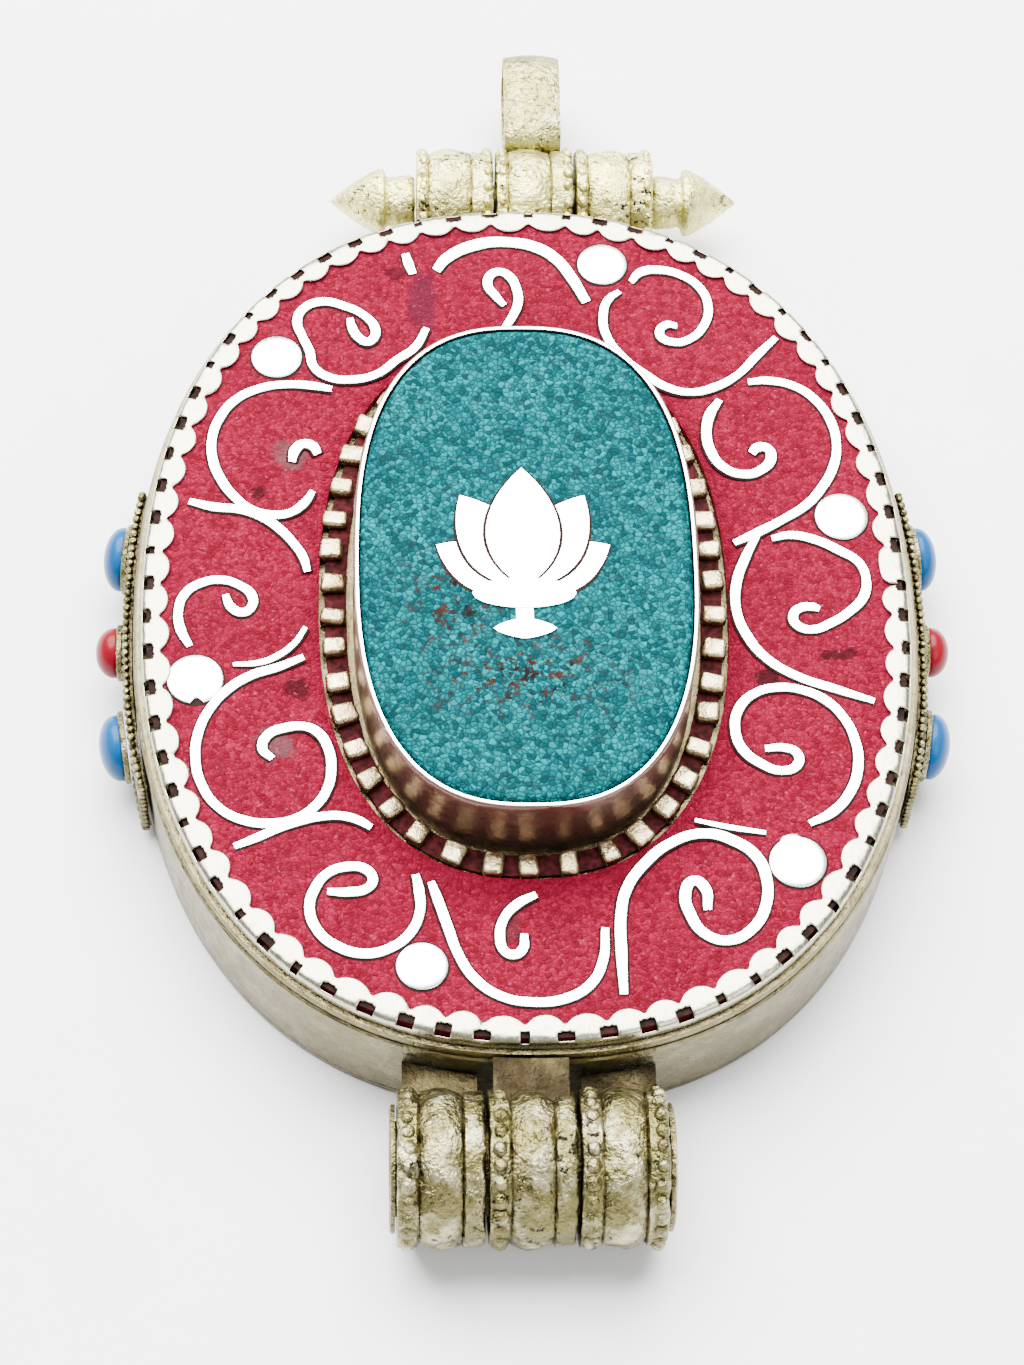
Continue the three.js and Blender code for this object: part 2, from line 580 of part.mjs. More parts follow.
// The leaf starts inside the knuckle's wall, at whatever height it lies, and ends at the oval.
function hingeKnuckle(index, leafLow) {
  const start = HINGE_START_X + index * (HINGE_KNUCKLE + KNUCKLE_GAP);
  const barrel = knuckle(
    HINGE_KNUCKLE, HINGE_RADIUS, HINGE_BEAD_RADIUS, HINGE_BEAD_WIDTH, HINGE_BORE, HINGE_SIDES,
  );
  const rise = Math.max(leafLow - HINGE_AXIS_Z, 0);
  const inset = Math.sqrt((HINGE_BORE + HINGE_WALL / 2) ** 2 - rise ** 2);
  const leaf = leafAgainst(
    caseOval,
    [start + HINGE_LEAF_INSET, HINGE_AXIS_Y + inset, leafLow],
    [start + HINGE_KNUCKLE - HINGE_LEAF_INSET, LEAF_END_Y, leafLow + HINGE_LEAF_THICKNESS],
  );
  return toGeometry(toSolid(barrel.translate(start, HINGE_AXIS_Y, HINGE_AXIS_Z)).add(leaf));
}

function addHinge() {
  const lowLeaf = HINGE_AXIS_Z - HINGE_LEAF_THICKNESS / 2;
  addPiece('hinge_knuckle_left', hingeKnuckle(0, lowLeaf), silver);
  addPiece('hinge_knuckle_right', hingeKnuckle(2, lowLeaf), silver);
  addPiece('hinge_knuckle_centre', hingeKnuckle(1, LID_BASE), silver);

  const bore = HINGE_PIN_RADIUS - HINGE_PIN_WALL;
  const head = HINGE_PIN_RADIUS + HINGE_HEAD_PROUD;
  const near = -SOLDER_GAP;
  const span = 3 * HINGE_KNUCKLE + 2 * KNUCKLE_GAP;
  const far = span + SOLDER_GAP;
  const pin = turned([
    [bore, near - HINGE_HEAD_THICKNESS], [head, near - HINGE_HEAD_THICKNESS], [head, near],
    [HINGE_PIN_RADIUS, near], [HINGE_PIN_RADIUS, far], [head, far],
    [head, far + HINGE_HEAD_THICKNESS], [bore, far + HINGE_HEAD_THICKNESS],
    [bore, near - HINGE_HEAD_THICKNESS],
  ], HINGE_SIDES);
  addPiece('hinge_pin', pin.translate(HINGE_START_X, HINGE_AXIS_Y, HINGE_AXIS_Z), silver);
}

// ---- Top tube, lock pin, finials and bail ----
const TOP_SIDES = 16;
const TOP_SPAN = 3 * TOP_KNUCKLE + 2 * KNUCKLE_GAP;

function topBarrel(index) {
  const start = TOP_START_X + index * (TOP_KNUCKLE + KNUCKLE_GAP);
  const barrel = knuckle(TOP_KNUCKLE, TOP_RADIUS, TOP_BEAD_RADIUS, TOP_BEAD_WIDTH, TOP_BORE, TOP_SIDES);
  return { start, barrel: barrel.translate(start, TOP_AXIS_Y, TOP_AXIS_Z) };
}

function topKnuckle(index) {
  const { start, barrel } = topBarrel(index);
  const near = TOP_AXIS_Y - (TOP_BORE + TOP_RADIUS) / 2;
  const leaf = leafAgainst(
    caseOval,
    [start + TOP_BEAD_WIDTH, -LEAF_END_Y, TOP_AXIS_Z - TOP_LEAF_HEIGHT / 2],
    [start + TOP_KNUCKLE - TOP_BEAD_WIDTH, near, TOP_AXIS_Z + TOP_LEAF_HEIGHT / 2],
  );
  return toGeometry(toSolid(barrel).add(leaf));
}

function finial(socket) {
  const tip = NECK_LENGTH + FINIAL_LENGTH;
  const outside = [
    [NECK_RADIUS, 0], [NECK_RADIUS, NECK_LENGTH], [FINIAL_RADIUS, NECK_LENGTH + FINIAL_STEP],
    [FINIAL_RADIUS * 0.6, NECK_LENGTH + FINIAL_LENGTH * 0.55], [0, tip],
  ];
  const inside = socket > 0 ? [[0, socket], [TOP_BORE, socket], [TOP_BORE, 0]] : [[0, 0]];
  return turned([...inside, ...outside], TOP_SIDES);
}

function addTop() {
  addPiece('top_knuckle_left', topKnuckle(0), silver);
  addPiece('top_knuckle_right', topKnuckle(2), silver);
  addPiece('bail_knuckle', topBarrel(1).barrel, silver);

  const end = TOP_START_X + TOP_SPAN;
  const right = finial(FINIAL_SOCKET).translate(end + SOLDER_GAP, TOP_AXIS_Y, TOP_AXIS_Z);
  addPiece('finial_right', right, silver);

  const left = finial(0).rotateZ(Math.PI);
  addPiece('finial_left', left.translate(TOP_START_X - SOLDER_GAP, TOP_AXIS_Y, TOP_AXIS_Z), silver);

  const length = TOP_SPAN + FINIAL_SOCKET / 2;
  const profile = [[0, 0], [LOCK_PIN_RADIUS, 0], [LOCK_PIN_RADIUS, length], [0, length]];
  const rod = turned(profile, TOP_SIDES);
  addPiece('lock_pin_rod', rod.translate(TOP_START_X, TOP_AXIS_Y, TOP_AXIS_Z), silver);
}

function addBail() {
  const middle = TOP_START_X + TOP_SPAN / 2;
  const reach = TOP_RADIUS - SOLDER_GAP + BAIL_LENGTH / 2;
  const outer = new Oval(BAIL_LENGTH / 2, BAIL_DEPTH / 2, BAIL_SQUARENESS);
  const half = BAIL_WIDTH / 2;
  const ring = ovalSlab(outer, -half, half, outer.grown(-BAIL_WALL), BAIL_STEPS);
  // Drawn flat, then stood up so that the eye looks along X and the length runs along Y.
  ring.rotateX(Math.PI / 2).rotateZ(Math.PI / 2);
  ring.translate(middle, TOP_AXIS_Y + reach, TOP_AXIS_Z);
  const seatRadius = TOP_RADIUS + SOLDER_GAP;
  const end = half + SOLDER_GAP;
  const seat = turned([[0, -end], [seatRadius, -end], [seatRadius, end], [0, end]], TOP_SIDES);
  seat.translate(middle, TOP_AXIS_Y, TOP_AXIS_Z);
  addPiece('bail_loop', toGeometry(toSolid(ring).subtract(toSolid(seat))), silver);
}

// ---- Side plates with three cabochons each ----

function addSidePlate(side, sign) {
  const inner = caseOval.grown(SOLDER_GAP);
  const low = SIDE_BASE_Z;
  const band = toSolid(ovalSlab(inner.grown(SIDE_THICKNESS), low, low + SIDE_HEIGHT, inner));
  const xs = [0, sign * (CASE_HALF_WIDTH + 5)].sort((a, b) => a - b);
  const window = box([xs[0], SIDE_BOTTOM_Y, low - 1], [xs[1], SIDE_TOP_Y, low + SIDE_HEIGHT + 1]);
  addPiece(`side_plate_${side}`, toGeometry(band.intersect(toSolid(window))), silver);
}

// Where the side plate's outer face is at a height y, and which way it faces.
function onSidePlate(y, sign) {
  const oval = caseOval.grown(SOLDER_GAP + SIDE_THICKNESS);
  const power = oval.squareness;
  const x = oval.halfWidth * (1 - Math.abs(y / oval.halfLength) ** power) ** (1 / power);
  const slopeX = x ** (power - 1) / oval.halfWidth ** power;
  const slopeY = (Math.sign(y) * Math.abs(y) ** (power - 1)) / oval.halfLength ** power;
  const turn = Math.atan2(slopeY, sign * slopeX);
  return {
    position: new THREE.Vector3(sign * x, y, SIDE_BASE_Z + SIDE_HEIGHT / 2),
    rotation: new THREE.Euler(0, 0, turn),
  };
}

function addCabochons(side, sign) {
  CABOCHONS.forEach(({ name, y, radius, colour }) => {
    const place = onSidePlate(y, sign);
    const seat = radius + CUP_CLEARANCE;
    const foot = CUP_STANDOFF;
    const cup = turned([
      [0, foot], [seat + CUP_WALL, foot], [seat + CUP_WALL, foot + CUP_HEIGHT],
      [seat, foot + CUP_HEIGHT], [seat, foot + CUP_FLOOR], [0, foot + CUP_FLOOR],
    ], CUP_SIDES);
    const start = foot + CUP_FLOOR + CUP_CLEARANCE;
    const dome = [0, 0.25, 0.5, 0.75].map((share) => [
      radius * Math.cos((share * Math.PI) / 2),
      start + DOME_FOOT + (DOME_HEIGHT - DOME_FOOT) * Math.sin((share * Math.PI) / 2),
    ]);
    const profile = [[0, start], [radius, start], ...dome, [0, start + DOME_HEIGHT]];
    const stone = turned(profile, CUP_SIDES);
    addPiece(`cabochon_cup_${side}_${name}`, cup, silver, place);
    addPiece(`cabochon_${side}_${name}`, stone, colour === 'blue' ? blueStone : redStone, place);
  });
}

// ---- Rolled prayer and its tie, inside the tray ----

function addContents() {
  const tieBore = ROLL_RADIUS + TIE_CLEARANCE;
  const height = BACK_THICKNESS + tieBore + TIE_THICKNESS;
  const tube = (outer, bore, length) => turned(
    [[bore, 0], [outer, 0], [outer, length], [bore, length], [bore, 0]],
    ROLL_SIDES,
  ).rotateZ(Math.PI / 2);
  const roll = tube(ROLL_RADIUS, ROLL_BORE, ROLL_LENGTH);
  addPiece('prayer_roll', roll.translate(ROLL_X, -ROLL_LENGTH / 2, height), paper);
  const tie = tube(tieBore + TIE_THICKNESS, tieBore, TIE_WIDTH);
  addPiece('roll_tie', tie.translate(ROLL_X, -TIE_WIDTH / 2, height), thread);
}

addCase();
addContents();
addLidPlate();
addLidLip();
addBezel();
addCoralField();
addStone();
addBeadStrip();
addEmblem();
addHinge();
addTop();
addBail();
[['left', -1], ['right', 1]].forEach(([side, sign]) => {
  addSidePlate(side, sign);
  addCabochons(side, sign);
});

export default pendant;
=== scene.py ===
"""A prayer box pendant (gau) on its back: silver with a coral field and a turquoise stone.

The code works in millimetres in the frame of the packed part, and finish_piece scales each
finished mesh to metres. Sizes that a user may change are in the settings groups, in metres.
"""

import math
import random
from types import SimpleNamespace

import bmesh
import bpy
from mathutils import Euler, Matrix, Vector, noise


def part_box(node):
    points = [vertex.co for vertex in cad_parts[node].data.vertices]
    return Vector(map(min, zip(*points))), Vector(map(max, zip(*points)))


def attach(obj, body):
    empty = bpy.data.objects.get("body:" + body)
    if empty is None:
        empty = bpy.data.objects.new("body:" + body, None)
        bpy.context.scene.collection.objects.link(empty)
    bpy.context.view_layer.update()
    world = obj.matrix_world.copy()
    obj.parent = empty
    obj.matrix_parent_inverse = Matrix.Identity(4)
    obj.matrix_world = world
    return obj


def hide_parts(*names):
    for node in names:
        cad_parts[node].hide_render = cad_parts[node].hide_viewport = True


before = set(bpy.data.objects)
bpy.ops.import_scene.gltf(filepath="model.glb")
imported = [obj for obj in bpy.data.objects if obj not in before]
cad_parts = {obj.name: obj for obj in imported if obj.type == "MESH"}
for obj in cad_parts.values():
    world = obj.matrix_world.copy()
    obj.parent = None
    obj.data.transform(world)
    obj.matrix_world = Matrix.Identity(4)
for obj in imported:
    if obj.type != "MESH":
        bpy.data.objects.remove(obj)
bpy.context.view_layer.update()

bl_info = {
    "name": "Prayer Box Pendant",
    "version": (1, 0, 0),
    "blender": (4, 5, 0),
    "location": "View3D > Sidebar > Prayer Box",
    "description": "Builds a silver prayer box pendant with inlaid coral and turquoise",
    "category": "Add Mesh",
}

MM = 0.001
TURN = 2 * math.pi
UP = Vector((0, 0, 1))
X, Y, Z = range(3)
BEAD_STRIP_SQUARENESS = 2.38
KNUCKLE_BORE = 1.5  # of the top tube


def node_box(*nodes):
    """Lowest and highest corners of CAD nodes together, in millimetres."""
    corners = [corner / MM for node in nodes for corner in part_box(node)]
    low, high = (
        Vector(pick(corner[axis] for corner in corners) for axis in range(3))
        for pick in (min, max)
    )
    return SimpleNamespace(low=low, high=high, centre=(low + high) / 2, size=high - low)


# ---- Settings ----


def length(name, description, default):
    return bpy.props.FloatProperty(
        name=name, description=description, default=default * MM, min=0, unit="LENGTH", precision=5
    )


def factor(name, description, default, highest=10.0):
    return bpy.props.FloatProperty(name=name, description=description, default=default, min=0, max=highest)


def number(name, description, default):
    return bpy.props.IntProperty(name=name, description=description, default=default, min=3)


def colour(name, description, default):
    return bpy.props.FloatVectorProperty(
        name=name, description=description, default=default, size=3, min=0, max=1, subtype="COLOR"
    )


class PRAYERBOX_PG_case(bpy.types.PropertyGroup):
    squareness: factor("Squareness", "Exponent of the oval: 2 is an ellipse", 2.26)
    wall: length("Wall", "Thickness of the tray's wall", 0.8)
    dents: length("Dents", "How far hand-hammered dents move the wall", 0.04)


class PRAYERBOX_PG_edge(bpy.types.PropertyGroup):
    scallops: number("Scallops", "Tongues bent in over the coral", 72)
    root_across: length("Root across", "Outer edge to the notches, on the long sides", 1.25)
    root_along: length("Root along", "Outer edge to the notches, at the two ends", 1.25)
    tongue: length("Tongue", "Notch to the tip of a tongue", 0.75)
    sheet: length("Sheet", "Thickness of the bent strip", 0.24)


class PRAYERBOX_PG_scrolls(bpy.types.PropertyGroup):
    wire_width: length("Wire width", "Width of the flat wire", 0.65)
    outline: length("Outline", "Dark line that shows beside the wire", 0.11)


class PRAYERBOX_PG_stone(bpy.types.PropertyGroup):
    squareness: factor("Squareness", "Exponent of the stone's outline", 2.58)
    collet_wall: length("Collet wall", "Thickness of the band round the stone", 0.35)
    beads: number("Beads", "Beads in the strip round the stone", 42)
    bead_length: length("Bead length", "Size of a bead along the strip", 1.4)
    bead_width: length("Bead width", "Size of a bead across the strip", 1.62)


class PRAYERBOX_PG_barrels(bpy.types.PropertyGroup):
    hinge_beads: number("Hinge beads", "Beads round one ring of the hinge barrel", 26)
    top_beads: number("Top beads", "Beads round one ring of the top tube", 20)
    wear: length("Wear", "How far pits and dents move the cast metal", 0.2)


class PRAYERBOX_PG_sides(bpy.types.PropertyGroup):
    edge_bead: length("Edge bead", "Radius of the beads on the side plates' edges", 0.3)
    cup_beads: number("Cup beads", "Beads round the foot of each cup", 18)


class PRAYERBOX_PG_colours(bpy.types.PropertyGroup):
    # Silver and Wall are far darker than silver's own colour: painted shade that stands in for the dark
    # surroundings the metal reflects.
    silver: colour("Silver", "Worn, yellow silver of the cast pieces", (0.150, 0.131, 0.048))
    wall: colour("Wall", "Warmer silver of the tray and the lid's sheet", (0.155, 0.132, 0.066))
    bright: colour("Bright silver", "Polished wires, dots and lotus", (0.97, 0.965, 0.94))
    edge: colour("Edge", "The bent strip round the coral", (0.43, 0.42, 0.31))
    coral: colour("Coral", "Crushed coral", (0.088, 0.0019, 0.0085))
    coral_light: colour("Coral light", "Palest chips of the coral", (0.18, 0.0050, 0.024))
    turquoise: colour("Turquoise", "Crushed turquoise", (0.0002, 0.030, 0.034))
    turquoise_light: colour("Turquoise light", "Palest chips of the turquoise", (0.0005, 0.150, 0.162))
    blue: colour("Blue", "Blue cabochons", (0.0003, 0.052, 0.155))
    red: colour("Red", "Red cabochons", (0.14, 0.001, 0.007))


class PRAYERBOX_PG_stage(bpy.types.PropertyGroup):
    lens: bpy.props.FloatProperty(
        name="Lens", description="Focal length of the camera in millimetres", default=94.6, min=10
    )
    sky: factor("Sky", "Strength of the even light from all round", 0.6)
    key: factor("Key", "Power of the large soft lamp overhead, in watts", 33, 200)


GROUPS = {
    "prayer_case": PRAYERBOX_PG_case,
    "prayer_edge": PRAYERBOX_PG_edge,
    "prayer_scrolls": PRAYERBOX_PG_scrolls,
    "prayer_stone": PRAYERBOX_PG_stone,
    "prayer_barrels": PRAYERBOX_PG_barrels,
    "prayer_sides": PRAYERBOX_PG_sides,
    "prayer_colours": PRAYERBOX_PG_colours,
    "prayer_stage": PRAYERBOX_PG_stage,
}


def settings(group):
    """A settings group of the scene, with its lengths in millimetres."""
    values = getattr(bpy.context.scene, "prayer_" + group)
    chosen = SimpleNamespace()
    for name in type(values).__annotations__:
        value = getattr(values, name)
        if values.bl_rna.properties[name].unit == "LENGTH":
            value /= MM
        setattr(chosen, name, value)
    return chosen


# ---- Shapes ----


class Oval:
    """A superellipse outline that is walked at an even pace, anticlockwise from +X."""

    def __init__(self, half_width, half_length, squareness, centre=(0, 0)):
        self.half = (half_width, half_length)
        self.squareness = squareness
        self.centre = Vector(centre)
        count = 1440
        self.points = [self.turned_to(TURN * step / count) for step in range(count + 1)]
        self.walked = [0.0]
        for here, there in zip(self.points, self.points[1:]):
            self.walked.append(self.walked[-1] + (there - here).length)
        self.around = self.walked[-1]

    def turned_to(self, angle):
        bent = [math.copysign(abs(v) ** (2 / self.squareness), v) for v in (math.cos(angle), math.sin(angle))]
        return Vector((self.half[0] * bent[0], self.half[1] * bent[1]))

    def at(self, share):
        """Point at a share of the way round, and the direction straight outwards there."""
        wanted = (share % 1) * self.around
        low, high = 0, len(self.walked) - 1
        while high - low > 1:
            middle = (low + high) // 2
            if self.walked[middle] <= wanted:
                low = middle
            else:
                high = middle
        step = max(self.walked[high] - self.walked[low], 1e-9)
        point = self.points[low].lerp(self.points[high], (wanted - self.walked[low]) / step)
        power = self.squareness - 1
        outward = Vector(
            math.copysign(abs(point[axis] / self.half[axis]) ** power, point[axis]) / self.half[axis]
            for axis in range(2)
        )
        return point + self.centre, outward.normalized()

    def grown(self, amount):
        half_width, half_length = self.half
        return Oval(half_width + amount, half_length + amount, self.squareness, self.centre)

    def reach(self, axis, place):
        """How far the outline reaches along one axis, at a place on the other."""
        power = self.squareness
        return self.half[axis] * (1 - abs(place / self.half[1 - axis]) ** power) ** (1 / power)

    def depth(self, point):
        """About how far inside the oval a point is."""
        offset = Vector(point[:2]) - self.centre
        level = sum(abs(offset[axis] / self.half[axis]) ** self.squareness for axis in range(2))
        return offset.length * (max(level, 1e-6) ** (-1 / self.squareness) - 1)


def newest(made, before):
    """Edges that join two of the vertices an extrusion made."""
    fresh = {item for item in made if isinstance(item, bmesh.types.BMVert)}
    return [
        item for item in made
        if isinstance(item, bmesh.types.BMEdge) and item not in before and fresh.issuperset(item.verts)
    ]


def face_out(mesh):
    """Turns every face of a closed mesh outwards."""
    bmesh.ops.recalc_face_normals(mesh, faces=mesh.faces)


def swept(steps, rows, place, filled=False):
    """Draws a ring of points through rows, then joins the last row to the first or fills both.

    place(step, row) gives where each point of a row goes.
    """
    mesh = bmesh.new()
    layer = mesh.verts.layers.int.new("step")
    bmesh.ops.create_circle(mesh, segments=steps, radius=1)
    for index, vert in enumerate(mesh.verts):
        vert[layer] = index

    def lay(verts, row):
        for vert in verts:
            vert.co = place(vert[layer], row)

    lay(mesh.verts, rows[0])
    first = edges = mesh.edges[:]
    for row in rows[1:]:
        made = bmesh.ops.extrude_edge_only(mesh, edges=edges)["geom"]
        edges = newest(made, set(edges))
        lay({vert for edge in edges for vert in edge.verts}, row)
    if filled:
        for loop in (first, edges):
            bmesh.ops.contextual_create(mesh, geom=loop)
    else:
        bmesh.ops.bridge_loops(mesh, edges=first + edges)
    face_out(mesh)
    return mesh


def band(oval, rows, steps=192, filled=False):
    """A band or a plate round an oval. A row is (distance outside the oval, height)."""
    places = [oval.at(index / steps) for index in range(steps)]

    def place(step, row):
        point, outward = places[step]
        return (*(point + outward * row[0]), row[1])

    return swept(steps, rows, place, filled)


def turned(profile, axis, steps=72):
    """A piece turned about a line along X through axis, from (x, radius) pairs."""
    mesh = bmesh.new()
    verts = [mesh.verts.new((x, 0, radius)) for x, radius in profile]
    edges = [mesh.edges.new(pair) for pair in zip(verts, verts[1:])]
    bmesh.ops.spin(
        mesh, geom=verts + edges, cent=(0, 0, 0), axis=(1, 0, 0), dvec=(0, 0, 0),
        angle=TURN, steps=steps, use_merge=True,
    )
    bmesh.ops.remove_doubles(mesh, verts=mesh.verts, dist=1e-4)
    face_out(mesh)
    bmesh.ops.translate(mesh, vec=(0, axis.y, axis.z), verts=mesh.verts)
    return mesh


def bead(mesh, place, size, turn=Matrix.Identity(3), detail=2):
    """Adds a small rounded bead to a mesh."""
    matrix = Matrix.LocRotScale(place, turn.to_quaternion(), Vector(size))
    bmesh.ops.create_icosphere(mesh, subdivisions=detail, radius=1, matrix=matrix)


def bead_ring(mesh, x, radius, count, size, axis, draw, detail=2):
    """A ring of soldered beads round a line along X."""
    for index in range(count):
        angle = TURN * (index + draw.uniform(-0.08, 0.08)) / count
        out = Vector((0, math.cos(angle), math.sin(angle)))
        grow = draw.uniform(0.85, 1.08)
        place = Vector((x + draw.uniform(-0.05, 0.05), axis.y, axis.z)) + out * radius
        bead(mesh, place, [part * grow for part in size], Matrix.Rotation(angle, 3, "X"), detail)


def dent(mesh, amount, grain, seed=0, keep=None):
    """Moves vertices along their normals by smooth noise. Grain is the size of a dent."""
    mesh.normal_update()
    shift = Vector((seed * 17.3, seed * 5.1, seed * 9.7))
    moves = [(vert, vert.normal * noise.noise(vert.co / grain + shift) * amount) for vert in mesh.verts]
    for vert, move in moves:
        if keep is None or keep(vert.co):
            vert.co += move


def hold(mesh, axis, low=-math.inf, high=math.inf):
    """Keeps one coordinate of every vertex between two values."""
    for vert in mesh.verts:
        vert.co[axis] = min(max(vert.co[axis], low), high)


def press_round(mesh, axis, radius, spared=0):
    """Brings what stands out past a radius round a line along X back to it.

    A spared side of 1 or -1 leaves what lies beyond the radius on that side along Y.
    """
    for vert in mesh.verts:
        out = vert.co.yz - axis.yz
        if out.length > radius and spared * out.x < radius:
            vert.co.yz = axis.yz + out * (radius / out.length)


def beyond(axis, radius):
    """A test for places outside a radius round a line along X."""
    return lambda co: (co.yz - axis.yz).length > radius


def join(mesh, other):
    """Adds another mesh to a mesh."""
    data = bpy.data.meshes.new("part")
    other.to_mesh(data)
    other.free()
    mesh.from_mesh(data)
    bpy.data.meshes.remove(data)


def finish_piece(name, mesh, body, finish, replaces=(), sharp=40, smooth=0):
    """Makes the object of a finished mesh, and ties it to its body of the frame."""
    bmesh.ops.scale(mesh, vec=(MM, MM, MM), verts=mesh.verts)
    data = bpy.data.meshes.new(name)
    mesh.to_mesh(data)
    mesh.free()
    data.materials.append(FINISHES[finish])
    piece = bpy.data.objects.new(name, data)
    bpy.context.scene.collection.objects.link(piece)
    data.shade_smooth()
    if sharp:
        data.set_sharp_from_angle(angle=math.radians(sharp))
    if smooth:
        rounding = piece.modifiers.new("Rounding", "SUBSURF")
        rounding.levels = rounding.render_levels = smooth
    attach(piece, body)
    if replaces:
        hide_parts(*replaces)
    return piece


# ---- Finishes ----

FINISHES = {}


class Finish:
    """A node material in the making, on Object coordinates."""

    def __init__(self, name, **surface):
        self.material = bpy.data.materials.new(name)
        self.material.use_nodes = True
        self.tree = self.material.node_tree
        self.shader = self.tree.nodes["Principled BSDF"]
        self.place = self.node("ShaderNodeTexCoord").outputs["Object"]
        for socket, value in surface.items():
            self.plug(self.shader, socket.replace("_", " "), value)

    def plug(self, node, socket, value):
        if isinstance(value, bpy.types.NodeSocket):
            self.tree.links.new(value, node.inputs[socket])
        else:
            node.inputs[socket].default_value = value

    def node(self, kind, options=None, **inputs):
        node = self.tree.nodes.new(kind)
        for option, value in (options or {}).items():
            setattr(node, option, value)
        for socket, value in inputs.items():
            self.plug(node, socket.replace("_", " "), value)
        return node

    def cloud(self, size, detail=2.0, roughness=0.5, where=None):
        """Soft noise with spots of about the given size in millimetres."""
        return self.node(
            "ShaderNodeTexNoise", Vector=where or self.place, Scale=1 / (size * MM),
            Detail=detail, Roughness=roughness,
        ).outputs["Fac"]

    def cells(self, size, feature="F1", output="Distance", where=None):
        """Voronoi cells of about the given size in millimetres."""
        return self.node(
            "ShaderNodeTexVoronoi", {"feature": feature}, Vector=where or self.place, Scale=1 / (size * MM)
        ).outputs[output]

    def range(self, value, low, high, start=0.0, end=1.0):
        """Remaps low..high to start..end, clamped."""
        return self.node(
            "ShaderNodeMapRange", {"clamp": True}, Value=value,
            **{"From_Min": low, "From_Max": high, "To_Min": start, "To_Max": end},
        ).outputs["Result"]

    def sum(self, kind, first, second):
        node = self.node("ShaderNodeMath", {"operation": kind, "use_clamp": False})
        for index, value in enumerate((first, second)):
            self.plug(node, index, value)
        return node.outputs[0]

    def mix(self, share, first, second, blend="MIX"):
        node = self.node("ShaderNodeMix", {"data_type": "RGBA", "blend_type": blend})
        for index, value in ((0, share), (6, first), (7, second)):
            self.plug(node, index, value)
        return node.outputs[2]

    def spot(self, place, radius, squash=(1, 1), edge=0.4):
        """1 within about radius of a place on the face, in millimetres, with a ragged rim."""
        moved = self.node(
            "ShaderNodeMapping", Vector=self.place,
            Location=(-place[0] / radius / squash[0], -place[1] / radius / squash[1], 0),
            Scale=(1 / (radius * MM * squash[0]), 1 / (radius * MM * squash[1]), 0),
        ).outputs["Vector"]
        far = self.node("ShaderNodeVectorMath", {"operation": "LENGTH"})
        self.plug(far, 0, moved)
        ragged = self.sum("ADD", far.outputs["Value"], self.range(self.cloud(0.7, 3), 0.3, 0.7, -0.35, 0.35))
        return self.range(ragged, 1 + edge / 2, 1 - edge / 2)

    def bump(self, height, depth, under=None):
        inputs = {"Height": height, "Distance": depth * MM, "Strength": 1.0}
        if under is not None:
            inputs["Normal"] = under
        return self.node("ShaderNodeBump", **inputs).outputs["Normal"]


def rgba(chosen, scale=1.0):
    return (*(part * scale for part in chosen), 1.0)


def worn_silver(name, tint, pits=0.35, hollow_shade_and_grime=0.5, rough=0.32, worn=0.85):
    """Cast or hammered silver with a yellow tinge, pits and dark specks."""
    finish = Finish(name, Metallic=1.0)
    tones = finish.mix(
        finish.range(finish.cloud(1.6, 4), 0.35, 0.65), rgba(tint, 0.86), rgba(tint, 1.08)
    )
    warm = finish.mix(finish.range(finish.cloud(4, 3), 0.45, 0.7, 0, 0.6), tones, rgba((0.14, 0.115, 0.05)))
    # Ambient occlusion finds the hollows, which are darkened to near-black brown: painted shade, with some
    # grime.
    hollow = finish.node("ShaderNodeAmbientOcclusion", {"samples": 6}, Distance=0.9 * MM).outputs["AO"]
    shade = finish.range(hollow, 0.25, 0.75, hollow_shade_and_grime, 0)
    shaded_and_grimy = finish.mix(shade, warm, rgba((0.035, 0.022, 0.010)))
    # Bright patches away from the hollows: rubbed wear, and partly painted highlight for the bright points of
    # light on the dark metal; worn sets their strength.
    wear_and_highlight = finish.range(finish.cloud(2.2, 4, 0.65), 0.48, 0.70, 0, worn)
    bright = finish.mix(
        finish.sum("MULTIPLY", wear_and_highlight, finish.range(hollow, 0.6, 0.9)), shaded_and_grimy, rgba((0.70, 0.65, 0.40))
    )
    speck = finish.range(finish.cloud(0.5, 4, 0.75), 0.55, 0.59)
    patch = finish.range(finish.cloud(3.2, 2), 0.40, 0.58, 0, pits)
    pitted = finish.mix(finish.sum("MULTIPLY", speck, patch), bright, rgba((0.012, 0.009, 0.006)))
    finish.plug(finish.shader, "Base Color", pitted)
    sheen = finish.range(finish.cloud(0.8, 4), 0.3, 0.7, rough - 0.1, rough + 0.18)
    finish.plug(finish.shader, "Roughness", sheen)
    waves = finish.bump(finish.cloud(2.2, 3), 0.16)
    grain = finish.bump(finish.cloud(0.35, 3, 0.6), 0.05 + 0.16 * pits, waves)
    finish.plug(finish.shader, "Normal", grain)
    return finish.material


def polished_silver(name, tint, ripple=0.05, rough=0.22):
    """Bright polished silver, slightly uneven, with fine scratches."""
    finish = Finish(name, Metallic=1.0)
    dull = finish.range(finish.cloud(1.3, 3), 0.55, 0.75, 0, 0.4)
    finish.plug(finish.shader, "Base Color", finish.mix(dull, rgba(tint), rgba(tint, 0.7)))
    stretched = finish.node("ShaderNodeMapping", Vector=finish.place, Scale=(1, 0.12, 1)).outputs["Vector"]
    scratches = finish.cloud(0.12, 2, where=stretched)
    finish.plug(finish.shader, "Roughness", finish.range(scratches, 0.3, 0.7, rough - 0.06, rough + 0.1))
    waves = finish.bump(finish.cloud(1.4, 2), ripple)
    finish.plug(finish.shader, "Normal", finish.bump(scratches, 0.004, waves))
    return finish.material


